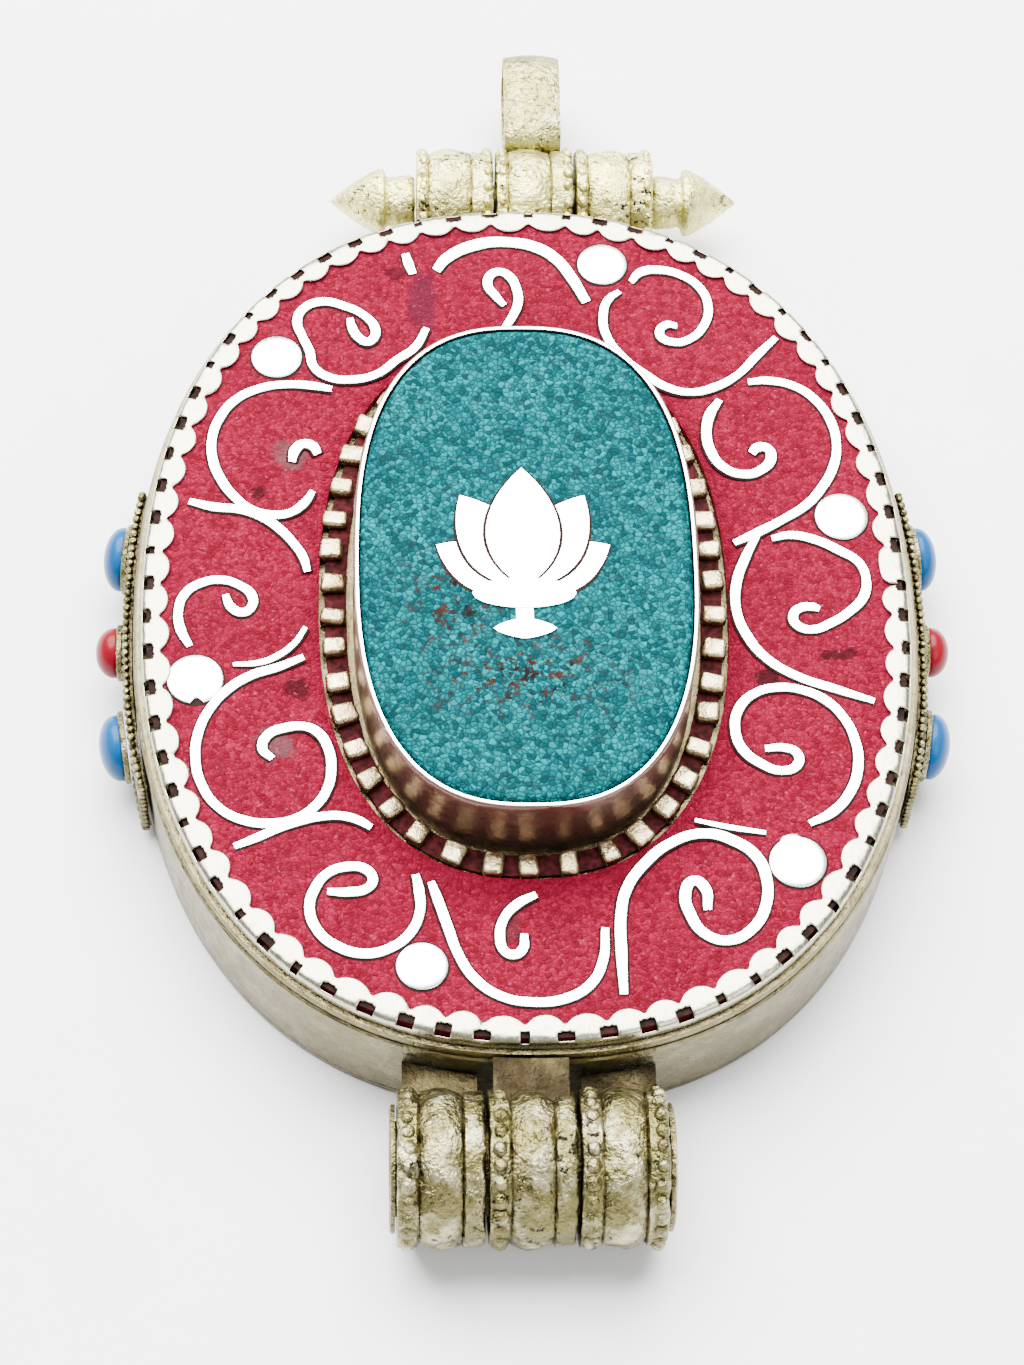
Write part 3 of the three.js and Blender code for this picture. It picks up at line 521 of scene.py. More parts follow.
def crushed_stone(name, dark, light, chip, gap, roughness, deep, marks):
    """Stone chips set in resin and ground flat: each chip has its own tone."""
    finish = Finish(name, Specular_IOR_Level=0.02, Roughness=roughness)
    wobble = finish.node(
        "ShaderNodeTexNoise", Vector=finish.place, Scale=1 / (0.5 * MM), Detail=2.0
    ).outputs["Color"]
    shifted = finish.node("ShaderNodeVectorMath", {"operation": "MULTIPLY_ADD"})
    for index, value in enumerate((wobble, (0.25 * MM,) * 3, finish.place)):
        finish.plug(shifted, index, value)
    where = shifted.outputs["Vector"]
    tone = finish.node("ShaderNodeSeparateColor", Color=finish.cells(chip, output="Color", where=where))
    chips = finish.mix(finish.range(tone.outputs["Red"], 0.1, 0.95), rgba(dark), rgba(light))
    drift = finish.range(finish.cloud(5, 3), 0.35, 0.65)
    chips = finish.mix(finish.sum("MULTIPLY", drift, 0.3), chips, rgba(dark, 0.8))
    seam = finish.cells(chip, "DISTANCE_TO_EDGE", where=where)
    lines = finish.range(seam, 0.0, gap, 0.85, 0)
    ground = finish.mix(lines, chips, rgba(deep))
    finish.plug(finish.shader, "Base Color", marks(finish, ground))
    rough = finish.bump(finish.range(seam, 0.0, 0.35), 0.05)
    finish.plug(finish.shader, "Normal", finish.bump(finish.cloud(0.3, 3), 0.03, rough))
    return finish.material


def coral_marks_and_shade(finish, ground):
    """Pits, smudges and the deeper red beside the stone."""
    for place, radius, squash, tone, strength in (
        ((-6.6, 23.6), 1.5, (0.6, 1.6), (0.16, 0.02, 0.05), 0.75),
        ((-14.8, -6.5), 0.8, (1, 1), (0.06, 0.01, 0.012), 0.8),
        ((-17.5, 8.2), 0.5, (1, 1), (0.06, 0.01, 0.012), 0.8),
        ((-8.4, 26), 0.7, (1, 0.7), (0.08, 0.01, 0.02), 0.7),
        ((15.3, -5.8), 0.8, (1, 0.8), (0.05, 0.01, 0.012), 0.85),
        ((20, -4.1), 0.9, (1.5, 0.45), (0.05, 0.01, 0.012), 0.8),
        ((-15.4, 11.2), 1.2, (0.9, 0.9), (0.20, 0.13, 0.13), 0.6),
        ((-16.2, -10.6), 1.3, (0.9, 0.9), (0.20, 0.13, 0.13), 0.6),
        ((-1.6, -23.2), 1.0, (0.6, 1.2), (0.14, 0.04, 0.05), 0.6),
    ):
        mark = finish.sum("MULTIPLY", finish.spot(place, radius, squash), strength)
        ground = finish.mix(mark, ground, rgba(tone, 0.3))
    pink = finish.range(finish.cloud(0.32, 2), 0.66, 0.72, 0, 0.45)
    ground = finish.mix(pink, ground, rgba((0.27, 0.045, 0.075)))
    pits = finish.range(finish.cloud(0.45, 3, 0.6), 0.68, 0.73, 0, 0.8)
    ground = finish.mix(pits, ground, rgba((0.014, 0.001, 0.002)))
    # Painted shade: the coral turns deeper red in a ring round the stone, beside the bead strip.
    rim = finish.node(
        "ShaderNodeMapping", Vector=finish.place, Scale=(1 / (12.4 * MM), 1 / (19.4 * MM), 0)
    ).outputs["Vector"]
    far = finish.node("ShaderNodeVectorMath", {"operation": "LENGTH"})
    finish.plug(far, 0, rim)
    deep = finish.range(far.outputs["Value"], 1.02, 1.2, 0.6, 0)
    return finish.mix(deep, ground, rgba((0.06, 0.001, 0.005)))


def turquoise_marks(finish, ground):
    """Brown and black pits, thickest low in the middle of the stone."""
    low = finish.spot((-0.2, -8.5), 5.0, (1.2, 0.55), 1.2)
    left = finish.spot((-5, -3), 3.2, (0.8, 1.3), 1.2)
    area = finish.sum("MAXIMUM", low, left)
    area = finish.sum("MAXIMUM", area, 0.12)
    speck = finish.range(finish.cloud(0.5, 3, 0.65), 0.53, 0.58)
    brown, black = rgba((0.03, 0.009, 0.006)), rgba((0.006, 0.005, 0.005))
    dark = finish.mix(finish.range(finish.cloud(1.2, 2), 0.4, 0.6), brown, black)
    return finish.mix(finish.sum("MULTIPLY", speck, area), ground, dark)


def glassy(name, tint):
    """Smooth opaque cabochon with a soft shine and slight streaks."""
    finish = Finish(name, Roughness=0.3, Specular_IOR_Level=0.12, Coat_Weight=0.06, Coat_Roughness=0.12)
    streak = finish.range(finish.cloud(1.8, 3), 0.35, 0.7)
    finish.plug(finish.shader, "Base Color", finish.mix(streak, rgba(tint), rgba(tint, 1.25)))
    finish.plug(finish.shader, "Normal", finish.bump(finish.cloud(0.9, 2), 0.02))
    return finish.material


def dull(name, first, second, size, depth, roughness=0.85, stretch=(1, 1, 1)):
    """Matt stuff with a fine mottle: pitch, paper, thread or the floor."""
    finish = Finish(name, Roughness=roughness, Specular_IOR_Level=0.03)
    where = finish.node("ShaderNodeMapping", Vector=finish.place, Scale=stretch).outputs["Vector"]
    mottle = finish.range(finish.cloud(size, 4, where=where), 0.35, 0.65)
    finish.plug(finish.shader, "Base Color", finish.mix(mottle, rgba(first), rgba(second)))
    finish.plug(finish.shader, "Normal", finish.bump(mottle, depth))
    return finish.material


def mix_finishes():
    """Makes every material once."""
    tint = settings("colours")
    FINISHES.update(
        # The case and cast finishes carry painted shade in their darkened tints.
        case=worn_silver("case_silver", tint.wall, pits=0.3, hollow_shade_and_grime=0.4, rough=0.34, worn=0.15),
        cast=worn_silver("cast_silver", tint.silver, pits=1.0, hollow_shade_and_grime=0.9, rough=0.3, worn=0.6),
        bead=worn_silver("bead_silver", (0.48, 0.38, 0.21), pits=0.3, hollow_shade_and_grime=0.95, rough=0.28),
        tube=worn_silver("tube_silver", (0.80, 0.745, 0.27), pits=1.0, hollow_shade_and_grime=0.7, rough=0.32, worn=0.6),
        # Painted shade: the hinge leaves get near-black silver that stands in for the shadow between the
        # barrel and the tray.
        leaf=worn_silver(
            "tarnished_silver", (0.022, 0.016, 0.008), pits=0.8, hollow_shade_and_grime=0.95, rough=0.5, worn=0.02
        ),
        bail=worn_silver("bail_silver", (0.34, 0.315, 0.11), pits=0.8, hollow_shade_and_grime=0.6, rough=0.32, worn=0.6),
        edge=polished_silver("edge_silver", tint.edge, ripple=0.14, rough=0.28),
        wire=polished_silver("wire_silver", tint.bright, ripple=0.01, rough=0.28),
        collet=polished_silver("collet_silver", (0.22, 0.14, 0.11), ripple=0.16, rough=0.38),
        coral=crushed_stone(
            "crushed_coral", tint.coral, tint.coral_light, 0.27, 0.05, 0.5, (0.045, 0.001, 0.003), coral_marks_and_shade
        ),
        turquoise=crushed_stone(
            "crushed_turquoise", tint.turquoise, tint.turquoise_light, 0.34, 0.16, 0.5,
            (0.001, 0.013, 0.016), turquoise_marks,
        ),
        blue=glassy("blue_cabochon", tint.blue),
        red=glassy("red_cabochon", tint.red),
        solder=dull("bead_solder", (0.012, 0.003, 0.003), (0.055, 0.007, 0.009), 0.5, 0.06, 0.6),
        pitch=dull("dark_pitch", (0.007, 0.004, 0.003), (0.02, 0.009, 0.007), 0.5, 0.06, 0.6),
        paper=dull("old_paper", (0.55, 0.43, 0.26), (0.72, 0.61, 0.42), 1.2, 0.04, 0.9, (1, 0.2, 1)),
        thread=dull("red_thread", (0.08, 0.003, 0.005), (0.14, 0.01, 0.01), 0.3, 0.08),
        floor=dull("pale_paper", (0.83, 0.83, 0.84), (0.86, 0.86, 0.865), 9, 0.02, 0.75),
    )


# ---- Case ----


def case_oval():
    box = node_box("case_wall")
    return Oval(box.high.x, box.high.y, settings("case").squareness)


def build_case():
    """The tray's wall with its soft hammer marks, and its back plate with a chased line."""
    chosen = settings("case")
    box = node_box("case_wall")
    low, high, wall = box.low.z, box.high.z, chosen.wall
    rows = [
        (-0.12, low), (0, low + 0.12), (0, low + 1.6), (0, low + 3.2), (0, low + 4.8), (0, high - 0.7),
        (0, high - 0.14), (-0.12, high), (-wall + 0.08, high), (-wall, high - 0.1), (-wall, low),
    ]
    oval = case_oval()
    mesh = band(oval, rows, steps=256)
    dent(mesh, -chosen.dents, 4.5, 1, keep=lambda co: low + 0.5 < co.z < high - 0.4)
    finish_piece("tray_wall", mesh, "case", "case", ["case_wall"])

    low, high = node_box("back_plate").low.z, node_box("back_plate").high.z
    rows = [
        (-1, high), (-0.02, high), (-0.02, low + 0.3), (-0.12, low + 0.08), (-0.35, low),
        (-2.6, low), (-2.7, low + 0.07), (-2.95, low + 0.07), (-3.05, low), (-4, low),
    ]
    mesh = band(oval, rows, steps=256, filled=True)
    finish_piece("back_sheet", mesh, "case", "case", ["back_plate"], sharp=30)


def build_lid_plate():
    """The lid's sheet, with its rounded rim, and the lip that enters the tray."""
    box = node_box("lid_plate")
    low, high = box.low.z, box.high.z
    oval = Oval(box.high.x, box.high.y, settings("case").squareness)
    rows = [(-2, low), (-0.1, low), (0, low + 0.12), (0, high - 0.2), (-0.12, high), (-2, high)]
    mesh = band(oval, rows, steps=256, filled=True)
    finish_piece("lid_sheet", mesh, "lid", "case", ["lid_plate"], sharp=50)

    box = node_box("lid_lip")
    low, high = box.low.z, box.high.z
    wall = 0.5
    oval = Oval(box.high.x, box.high.y, settings("case").squareness)
    rows = [(-0.08, low), (0, low + 0.15), (0, high), (-wall, high), (-wall, low + 0.1), (-wall + 0.1, low)]
    mesh = band(oval, rows, steps=192)
    bmesh.ops.bisect_plane(
        mesh, geom=mesh.verts[:] + mesh.edges[:] + mesh.faces[:], dist=1e-4,
        plane_co=(0, box.low.y, 0), plane_no=(0, -1, 0), clear_outer=True,
    )
    rims = [edge for edge in mesh.edges if edge.is_boundary]
    bmesh.ops.holes_fill(mesh, edges=rims, sides=0)
    face_out(mesh)
    finish_piece("lid_lip_band", mesh, "lid", "case", ["lid_lip"])


# ---- Scalloped edge ----


def tongue_shares(count, draw):
    """Where each notch is along the edge. One tongue near the seam is wide and square."""
    widths = [draw.uniform(0.93, 1.07) for _ in range(count)]
    widths[0], widths[-1] = 1.22, 0.9
    total = sum(widths)
    shares = [0.0]
    for width in widths:
        shares.append(shares[-1] + width / total)
    return shares


def build_edge():
    """The bright strip that stands round the coral and is bent in over it in tongues."""
    chosen = settings("edge")
    box = node_box("scalloped_bezel")
    low, high = box.low.z, box.high.z
    outer = Oval(box.high.x, box.high.y, settings("case").squareness)
    draw = random.Random(11)
    notches = tongue_shares(chosen.scallops, draw)
    lengths = [chosen.tongue * draw.uniform(0.88, 1.06) for _ in range(chosen.scallops)]
    lifts = [draw.uniform(-0.05, 0.02) for _ in range(chosen.scallops)]
    holes = [(draw.uniform(0.7, 1.15), draw.uniform(0.35, 0.65)) for _ in range(chosen.scallops + 1)]
    columns, rows = 10, 12
    steps = columns * chosen.scallops
    seam = 0.006  # the strip starts a little above the right-hand middle
    top = high - chosen.sheet / 2 - 0.02
    half = chosen.sheet / 2
    arc = 0.45

    mesh = bmesh.new()
    bmesh.ops.create_grid(mesh, x_segments=steps, y_segments=rows, size=0.5)
    cut = mesh.faces.layers.int.new("cut")
    across = {}
    for vert in mesh.verts:
        column = round((vert.co.x + 0.5) * steps)
        row = round((vert.co.y + 0.5) * rows)
        across[vert] = (column, row)
    for face in mesh.faces:
        spots = [across[vert] for vert in face.verts]
        column = min(spot[0] for spot in spots)
        row = min(spot[1] for spot in spots)
        tongue, place = divmod(column, columns)
        behind = tongue if place < columns / 2 else tongue + 1
        far = place + 0.5 if place < columns / 2 else columns - place - 0.5
        size, where = holes[min(behind, chosen.scallops)]
        first = 2 if where < 0.5 else 3
        deep = 7 if size > 0.95 else 6
        wide = 2.0 if size > 0.85 and row < deep else 1.0
        face[cut] = int(first <= row <= deep and far < wide)
    for vert, (column, row) in across.items():
        tongue, place = divmod(column, columns)
        if tongue == chosen.scallops:
            tongue, place = chosen.scallops - 1, columns
        across_tongue = place / columns
        share = notches[tongue] + (notches[tongue + 1] - notches[tongue]) * across_tongue
        point, outward = outer.at(share * (1 - 2e-4) + seam)
        side = abs(outward.x)
        root = chosen.root_across * side + chosen.root_along * (1 - side)
        power = 0.30 if tongue == 0 else 0.62
        bulge = max(math.sin(math.pi * across_tongue), 0) ** power
        if row <= 2:
            inward, height = half, low + 0.02 + (top - arc - low) * row / 2
        elif row <= 5:
            angle = math.pi / 2 * (row - 2) / 3
            inward = half + arc * (1 - math.cos(angle))
            height = top - arc + arc * math.sin(angle)
        else:
            along = (row - 5) / (rows - 5)
            start = half + arc
            reach = root + lengths[tongue] * bulge
            inward = start + (reach - start) * along
            height = top + lifts[tongue] * along - 0.08 * along * along * (1 - 0.5 * bulge)
            height += 0.04 * math.sin(math.pi * along) * bulge
        place_now = point - outward * inward
        vert.co = (place_now.x, place_now.y, height)
    bmesh.ops.delete(mesh, geom=[face for face in mesh.faces if face[cut]], context="FACES")
    face_out(mesh)
    if sum(face.normal.z for face in mesh.faces) < 0:
        bmesh.ops.reverse_faces(mesh, faces=mesh.faces)
    dent(mesh, 0.025, 2.2, 3)
    bmesh.ops.solidify(mesh, geom=mesh.faces[:], thickness=half)
    finish_piece(
        "scalloped_edge", mesh, "lid", "edge", ["scalloped_bezel"], sharp=0, smooth=1
    )


# ---- Coral field, wires and dots ----

SCROLLS = {
    "top_left_loop": [[
        (-11.5, 22.2), (-11.3, 21.3), (-10.9, 20.6), (-10.3, 20.25), (-9.85, 20.6), (-9.8, 21.4),
        (-10.5, 22.4), (-11.9, 23.2), (-13.4, 23.55), (-14.6, 23), (-15.05, 21.9), (-14.7, 20.7),
        (-14.2, 19.5), (-13.9, 18.2), (-13, 17.4), (-11.5, 17.15), (-9.7, 17.6), (-8.3, 18.8),
        (-7.1, 19.8), (-6.3, 21.4),
    ]],
    "top_arch": [[
        (-5.6, 26.2), (-4.9, 27.2), (-2.9, 28.35), (-0.7, 28.6), (1.4, 28.1), (2.7, 27.1),
        (3.6, 25.7), (4.6, 23.6),
    ]],
    "top_curl": [[
        (-1, 23.3), (-1.6, 24.1), (-2.1, 25), (-1.9, 25.8), (-1.3, 26.1), (-0.6, 25.7),
        (-0.15, 24.7), (-0.05, 23.6), (-0.5, 22.3), (-1.1, 21.3),
    ]],
    "top_right_spiral": [[
        (7.7, 25.3), (8.4, 26.1), (9.6, 26.3), (11.1, 25.9), (12.4, 24.8), (12.9, 23.3),
        (12.6, 21.8), (11.6, 20.6), (10.3, 20.3), (9.5, 20.9), (9.9, 21.7), (10.7, 21.65),
    ]],
    "top_right_sweep": [[
        (6.9, 24.5), (6.1, 23.8), (5.7, 22.4), (5.85, 20.9), (6.8, 19.2), (8.5, 17.55),
        (9.8, 16.6), (11.3, 16.2), (13, 16.6), (14.6, 17.6), (16.1, 19.3), (17.4, 20.7),
    ]],
    "right_upper_spiral": [[
        (13.3, 15.6), (12.6, 14.4), (12.3, 13), (12.5, 11.5), (13.3, 10.2), (14.6, 9.65),
        (15.8, 10), (16.5, 10.9), (16.3, 11.7), (15.6, 11.75), (15.25, 11.3),
    ]],
    "right_sweep": [
        [
            (15.3, 17.05), (16.6, 17.15), (18.5, 16.65), (19.9, 15.4), (20.7, 13.8), (20.95, 12),
            (20.6, 10.2), (19.75, 8.6), (18.7, 7.3), (17, 6.1), (15.2, 5.05), (13.7, 4.3),
        ],
        [
            (15.3, 5), (14.4, 3.2), (13.7, 1.2), (13.6, -0.9), (14.2, -2.8), (15.4, -4.5),
            (17.3, -5.8), (19.6, -6.7), (22.1, -7.6),
        ],
    ],
    "right_loop": [[
        (16.2, 4.65), (17.4, 4.9), (19, 4.55), (20.6, 3.7), (21.8, 2.8), (22.2, 1.6), (21.95, 0.2),
        (21, -0.9), (19.7, -1.8), (18.4, -2.3), (17.5, -2), (17.25, -1.3), (17.7, -0.7),
        (18.6, -0.6), (19, -0.75),
    ]],
    "right_lower_spiral": [[
        (14.9, -11.05), (16.1, -11), (16.9, -11.4), (16.9, -12.2), (15.9, -12.65), (14.5, -12.1),
        (13.45, -11.1), (13.05, -9.7), (13.4, -8.1), (14.5, -7), (16, -6.6), (17.5, -6.8),
        (18.9, -7.5), (20, -8.75), (20.65, -10.4), (20.75, -12.2), (20.15, -14.1), (18.9, -15.6),
        (17.4, -16.4),
    ]],
    "bottom_right_loop": [[
        (5.3, -28.1), (5.25, -25.3), (5.3, -22.8), (5.7, -21), (6.9, -19.2), (8.7, -17.7),
        (10.7, -17.1), (12.6, -17.65), (13.9, -18.7), (14.45, -20.2), (14.35, -22), (13.5, -23.6),
        (11.9, -24.5), (10.4, -24), (9.6, -22.7), (9.35, -21.3), (9.9, -20.4), (10.6, -20.9),
        (10.7, -22.4),
    ]],
    "bottom_arch": [[
        (-6.4, -20.4), (-6, -21.6), (-5.4, -23.5), (-4.8, -25.3), (-3.8, -27), (-2.2, -28.2),
        (-0.3, -28.6), (1.8, -28.35), (3.3, -27.4), (4.1, -25.8), (4.3, -23.6),
    ]],
    "bottom_curl": [[
        (0.1, -21.3), (-1, -21.9), (-1.9, -22.9), (-2.2, -24.1), (-1.9, -25.2), (-1.3, -25.4),
        (-0.8, -25), (-0.7, -24),
    ]],
    "bottom_left_loop": [[
        (-12.8, -21.05), (-11.5, -21.1), (-10.3, -20.8), (-10, -20.2), (-10.5, -19.5),
        (-11.6, -19.35), (-12.8, -19.8), (-13.6, -20.9), (-13.9, -22.2), (-13.4, -23.7),
        (-12.2, -24.8), (-10.5, -25.3), (-8.9, -24.9), (-7.7, -23.9), (-7.1, -22.4),
        (-7.15, -21), (-7.35, -19.9),
    ]],
    "left_lower_sweep": [
        [
            (-16.3, -11.7), (-16.95, -11), (-16.6, -10), (-15.5, -9.5), (-14.3, -9.4), (-13.4, -9.9),
            (-12.8, -11), (-12.6, -12.4), (-12.85, -13.9), (-13.6, -15.1), (-14.7, -15.95),
            (-16.2, -16.3), (-18, -16.1), (-19.6, -15.2), (-20.7, -13.6), (-21.15, -11.7),
            (-21, -9.8), (-20.3, -8.1), (-19.2, -6.7), (-17.8, -5.7), (-16, -5.05), (-14.4, -4.3),
        ],
        [
            (-18.6, -17.9), (-17.2, -17.3), (-16, -16.7), (-14.7, -16.2), (-13.3, -15.85),
            (-11.9, -15.8), (-10.8, -16.15), (-10.1, -16.6),
        ],
    ],
    "left_middle_curl": [[
        (-19.5, 0.35), (-19.1, -0.6), (-18.4, -1), (-17.8, -0.6), (-17.8, 0.3), (-18.6, 1.05),
        (-19.7, 1.45), (-21, 1.25), (-22.1, 0.4), (-22.5, -1), (-22.3, -2.3), (-21.7, -3.5),
    ]],
    "left_upper_sweep": [
        [
            (-13.9, 8.3), (-14.5, 7.3), (-15.4, 6.6), (-16.6, 6.45), (-17.9, 6.85), (-19, 7.8),
            (-19.9, 9.1), (-20.5, 10.7), (-20.6, 12.4), (-20.1, 14.1), (-19.1, 15.5), (-17.6, 16.4),
            (-15.8, 16.75), (-14, 16.65), (-12.7, 16.4),
        ],
        [
            (-22, 7.5), (-20.4, 7.05), (-18.7, 6.85), (-17.3, 6.3), (-16.1, 5.4), (-15.1, 4.2),
            (-14.5, 3.2), (-14.2, 2.1),
        ],
    ],
}
# Short wires that only lie beside a scroll, with their width as a share of the usual one.
SMALL_WIRES = {
    "top_stub": (1.15, [(-7.7, 27.6), (-7.5, 26.8), (-7.2, 25.9)]),
    "lower_right_tail": (0.65, [(14.6, -17.05), (12.5, -16.7), (10.2, -16.15)]),
    "left_tail": (0.7, [(-18.9, -4.85), (-17.3, -4.75), (-16.1, -4.25), (-15, -3.3), (-14.3, -2.1)]),
    "left_inner_curl": (1.1, [(-13.6, 11.2), (-13.9, 11.8), (-14.6, 12), (-15.1, 11.5), (-15.3, 10.6)]),
}
# Scrolls whose wire is thicker or thinner than usual.
WIRE_SHARES = {"top_arch": 1.35, "right_upper_spiral": 1.1, "bottom_right_loop": 1.1, "top_right_sweep": 0.95}
DOTS = [
    (5.77, 26.75, 1.7), (-16.4, 19, 1.7), (20.9, 6.35, 1.75),
    (-21.3, -5.95, 1.8), (16.5, -19.1, 1.8), (-7, -26.15, 1.6),
]


def build_coral():
    """The coral, ground flat, a little hollow beside the beads and under the bent edge."""
    box = node_box("coral_inlay")
    strip = node_box("bead_strip")
    stone = settings("stone")
    low, high = box.low.z, box.high.z
    outer = Oval(box.high.x, box.high.y, settings("case").squareness)
    middle = ((strip.low.x + strip.high.x) / 2, (strip.low.y + strip.high.y) / 2)
    inner = Oval(strip.size.x / 2 + 0.08, strip.size.y / 2 + 0.08, BEAD_STRIP_SQUARENESS, middle)
    steps, rows = 256, 10
    pairs = [(inner.at(index / steps)[0], outer.at(index / steps)[0]) for index in range(steps)]

    def place(step, row):
        near, far = pairs[step]
        return (*near.lerp(far, row[0]), row[1])

    profile = [(0.0, low), (0.0, high - 0.22)]
    for row in range(rows + 1):
        hollow = 0.18 * (1 - row / rows) ** 4
        profile.append((row / rows * 0.99 + 0.005, high - hollow))
    profile += [(1.0, high - 0.1), (1.0, low)]
    mesh = swept(steps, profile, place)
    dent(mesh, 0.03, 3.0, 5, keep=lambda co: high - 0.15 < co.z)
    hold(mesh, Z, high=high)
    finish_piece("coral_field", mesh, "lid", "coral", ["coral_inlay"])


def wire_profile(width, height):
    """The cross-section of a flat wire, with its corners rounded off."""
    curve = bpy.data.curves.new("wire_profile", "CURVE")
    curve.dimensions = "2D"
    spline = curve.splines.new("POLY")
    x, y, round_off = width / 2, height / 2, 0.03
    corners = [
        (x, -y), (x, y - round_off), (x - round_off, y), (-x + round_off, y), (-x, y - round_off), (-x, -y)
    ]
    spline.points.add(len(corners) - 1)
    for point, corner in zip(spline.points, corners):
        point.co = (corner[0] * MM, corner[1] * MM, 0, 1)
    spline.use_cyclic_u = True
    profile = bpy.data.objects.new("wire_profile", curve)
    bpy.context.scene.collection.objects.link(profile)
    return profile


def bent_wire(strokes, width, height, middle, share, draw, taper=0.72):
    """Flat wires laid along strokes, as one mesh in metres."""
    profile = wire_profile(width * share, height)
    curve = bpy.data.curves.new("wire", "CURVE")
    curve.dimensions = "3D"
    curve.twist_mode = "Z_UP"
    curve.bevel_mode = "OBJECT"
    curve.bevel_object = profile
    curve.use_fill_caps = True
    curve.resolution_u = 6
    for stroke in strokes:
        spline = curve.splines.new("BEZIER")
        spline.bezier_points.add(len(stroke) - 1)
        last = len(stroke) - 1
        for index, (point, (x, y)) in enumerate(zip(spline.bezier_points, stroke)):
            point.co = (x * MM, y * MM, middle * MM)
            point.handle_left_type = point.handle_right_type = "AUTO"
            point.radius = draw.uniform(0.93, 1.07) * (taper if index in (0, last) else 1)
    wire = bpy.data.objects.new("wire", curve)
    bpy.context.scene.collection.objects.link(wire)
    bpy.context.view_layer.update()
    ready = wire.evaluated_get(bpy.context.evaluated_depsgraph_get())
    data = bpy.data.meshes.new_from_object(ready)
    for thing in (wire, profile):
        old = thing.data
        bpy.data.objects.remove(thing)
        bpy.data.curves.remove(old)
    mesh = bmesh.new()
    mesh.from_mesh(data)
    bpy.data.meshes.remove(data)
    bmesh.ops.scale(mesh, vec=(1 / MM,) * 3, verts=mesh.verts)
    bmesh.ops.remove_doubles(mesh, verts=mesh.verts, dist=1e-4)
    face_out(mesh)
    return mesh


def build_scrolls():
    """The flat wires, each with the dark line of its seat, and the six dots."""
    chosen = settings("scrolls")
    draw = random.Random(5)
    coral = node_box("coral_inlay").high.z
    top = node_box("dot_1").high.z
    outline = bmesh.new()

    def lay_wire(name, strokes, share, replaces=()):
        state = draw.getstate()
        height = top - coral + 0.05
        mesh = bent_wire(strokes, chosen.wire_width, height, top - height / 2 - 0.012, share, draw)
        hold(mesh, Z, high=top)
        finish_piece(name, mesh, "lid", "wire", replaces, sharp=28)
        draw.setstate(state)
        width = chosen.wire_width * share + 2 * chosen.outline
        seat = bent_wire(strokes, width, 0.1, coral - 0.03, 1, draw, 0.85)
        join(outline, seat)

    for name, strokes in SCROLLS.items():
        lay_wire("wire_" + name, strokes, WIRE_SHARES.get(name, 1), ["scroll_" + name])
    for name, (share, stroke) in SMALL_WIRES.items():
        lay_wire("wire_" + name, [stroke], share)

    for index, (x, y, radius) in enumerate(DOTS):
        centre = Vector((x, y))
        rim = Oval(radius, radius * draw.uniform(0.97, 1.02), 2, centre)
        rows = [
            (0, coral - 0.05), (0, top - 0.05), (-0.05, top - 0.01), (-0.5, top - 0.004), (-1.2, top - 0.002)
        ]
        mesh = band(rim, rows, steps=40, filled=True)
        for vert in mesh.verts:
            angle = math.atan2(vert.co.y - y, vert.co.x - x)
            if index == 3 and abs(angle + 1.45) < 0.14:
                vert.co.xy = centre + (vert.co.xy - centre) * 0.78
            if index == 4 and abs(angle - 1.75) < 0.3:
                vert.co.xy = centre + (vert.co.xy - centre) * 1.12
        face_out(mesh)
        name = f"dot_{index + 1}"
        finish_piece(f"silver_{name}", mesh, "lid", "wire", [name], sharp=50)
        seat = Oval(radius + chosen.outline, radius + chosen.outline, 2, centre)
        rows = [(0, coral - 0.05), (0, coral + 0.02), (-0.2, coral + 0.02)]
        join(outline, band(seat, rows, steps=40, filled=True))
    # Painted shade: a dark ring under the bent edge's tongues darkens what shows through its holes.
    rim = node_box("scalloped_bezel").high
    edge = Oval(rim.x, rim.y, settings("case").squareness)
    rows = [(-0.5, coral - 0.05), (-0.5, coral + 0.02), (-1.1, coral + 0.02), (-1.1, coral - 0.05)]
    join(outline, band(edge, rows, steps=256))
    face_out(outline)
    finish_piece("wire_seats", outline, "lid", "pitch")


# ---- Centre stone ----


def stone_oval():
    box = node_box("turquoise_stone")
    return Oval(box.size.x / 2, box.size.y / 2, settings("stone").squareness, box.centre.xy)


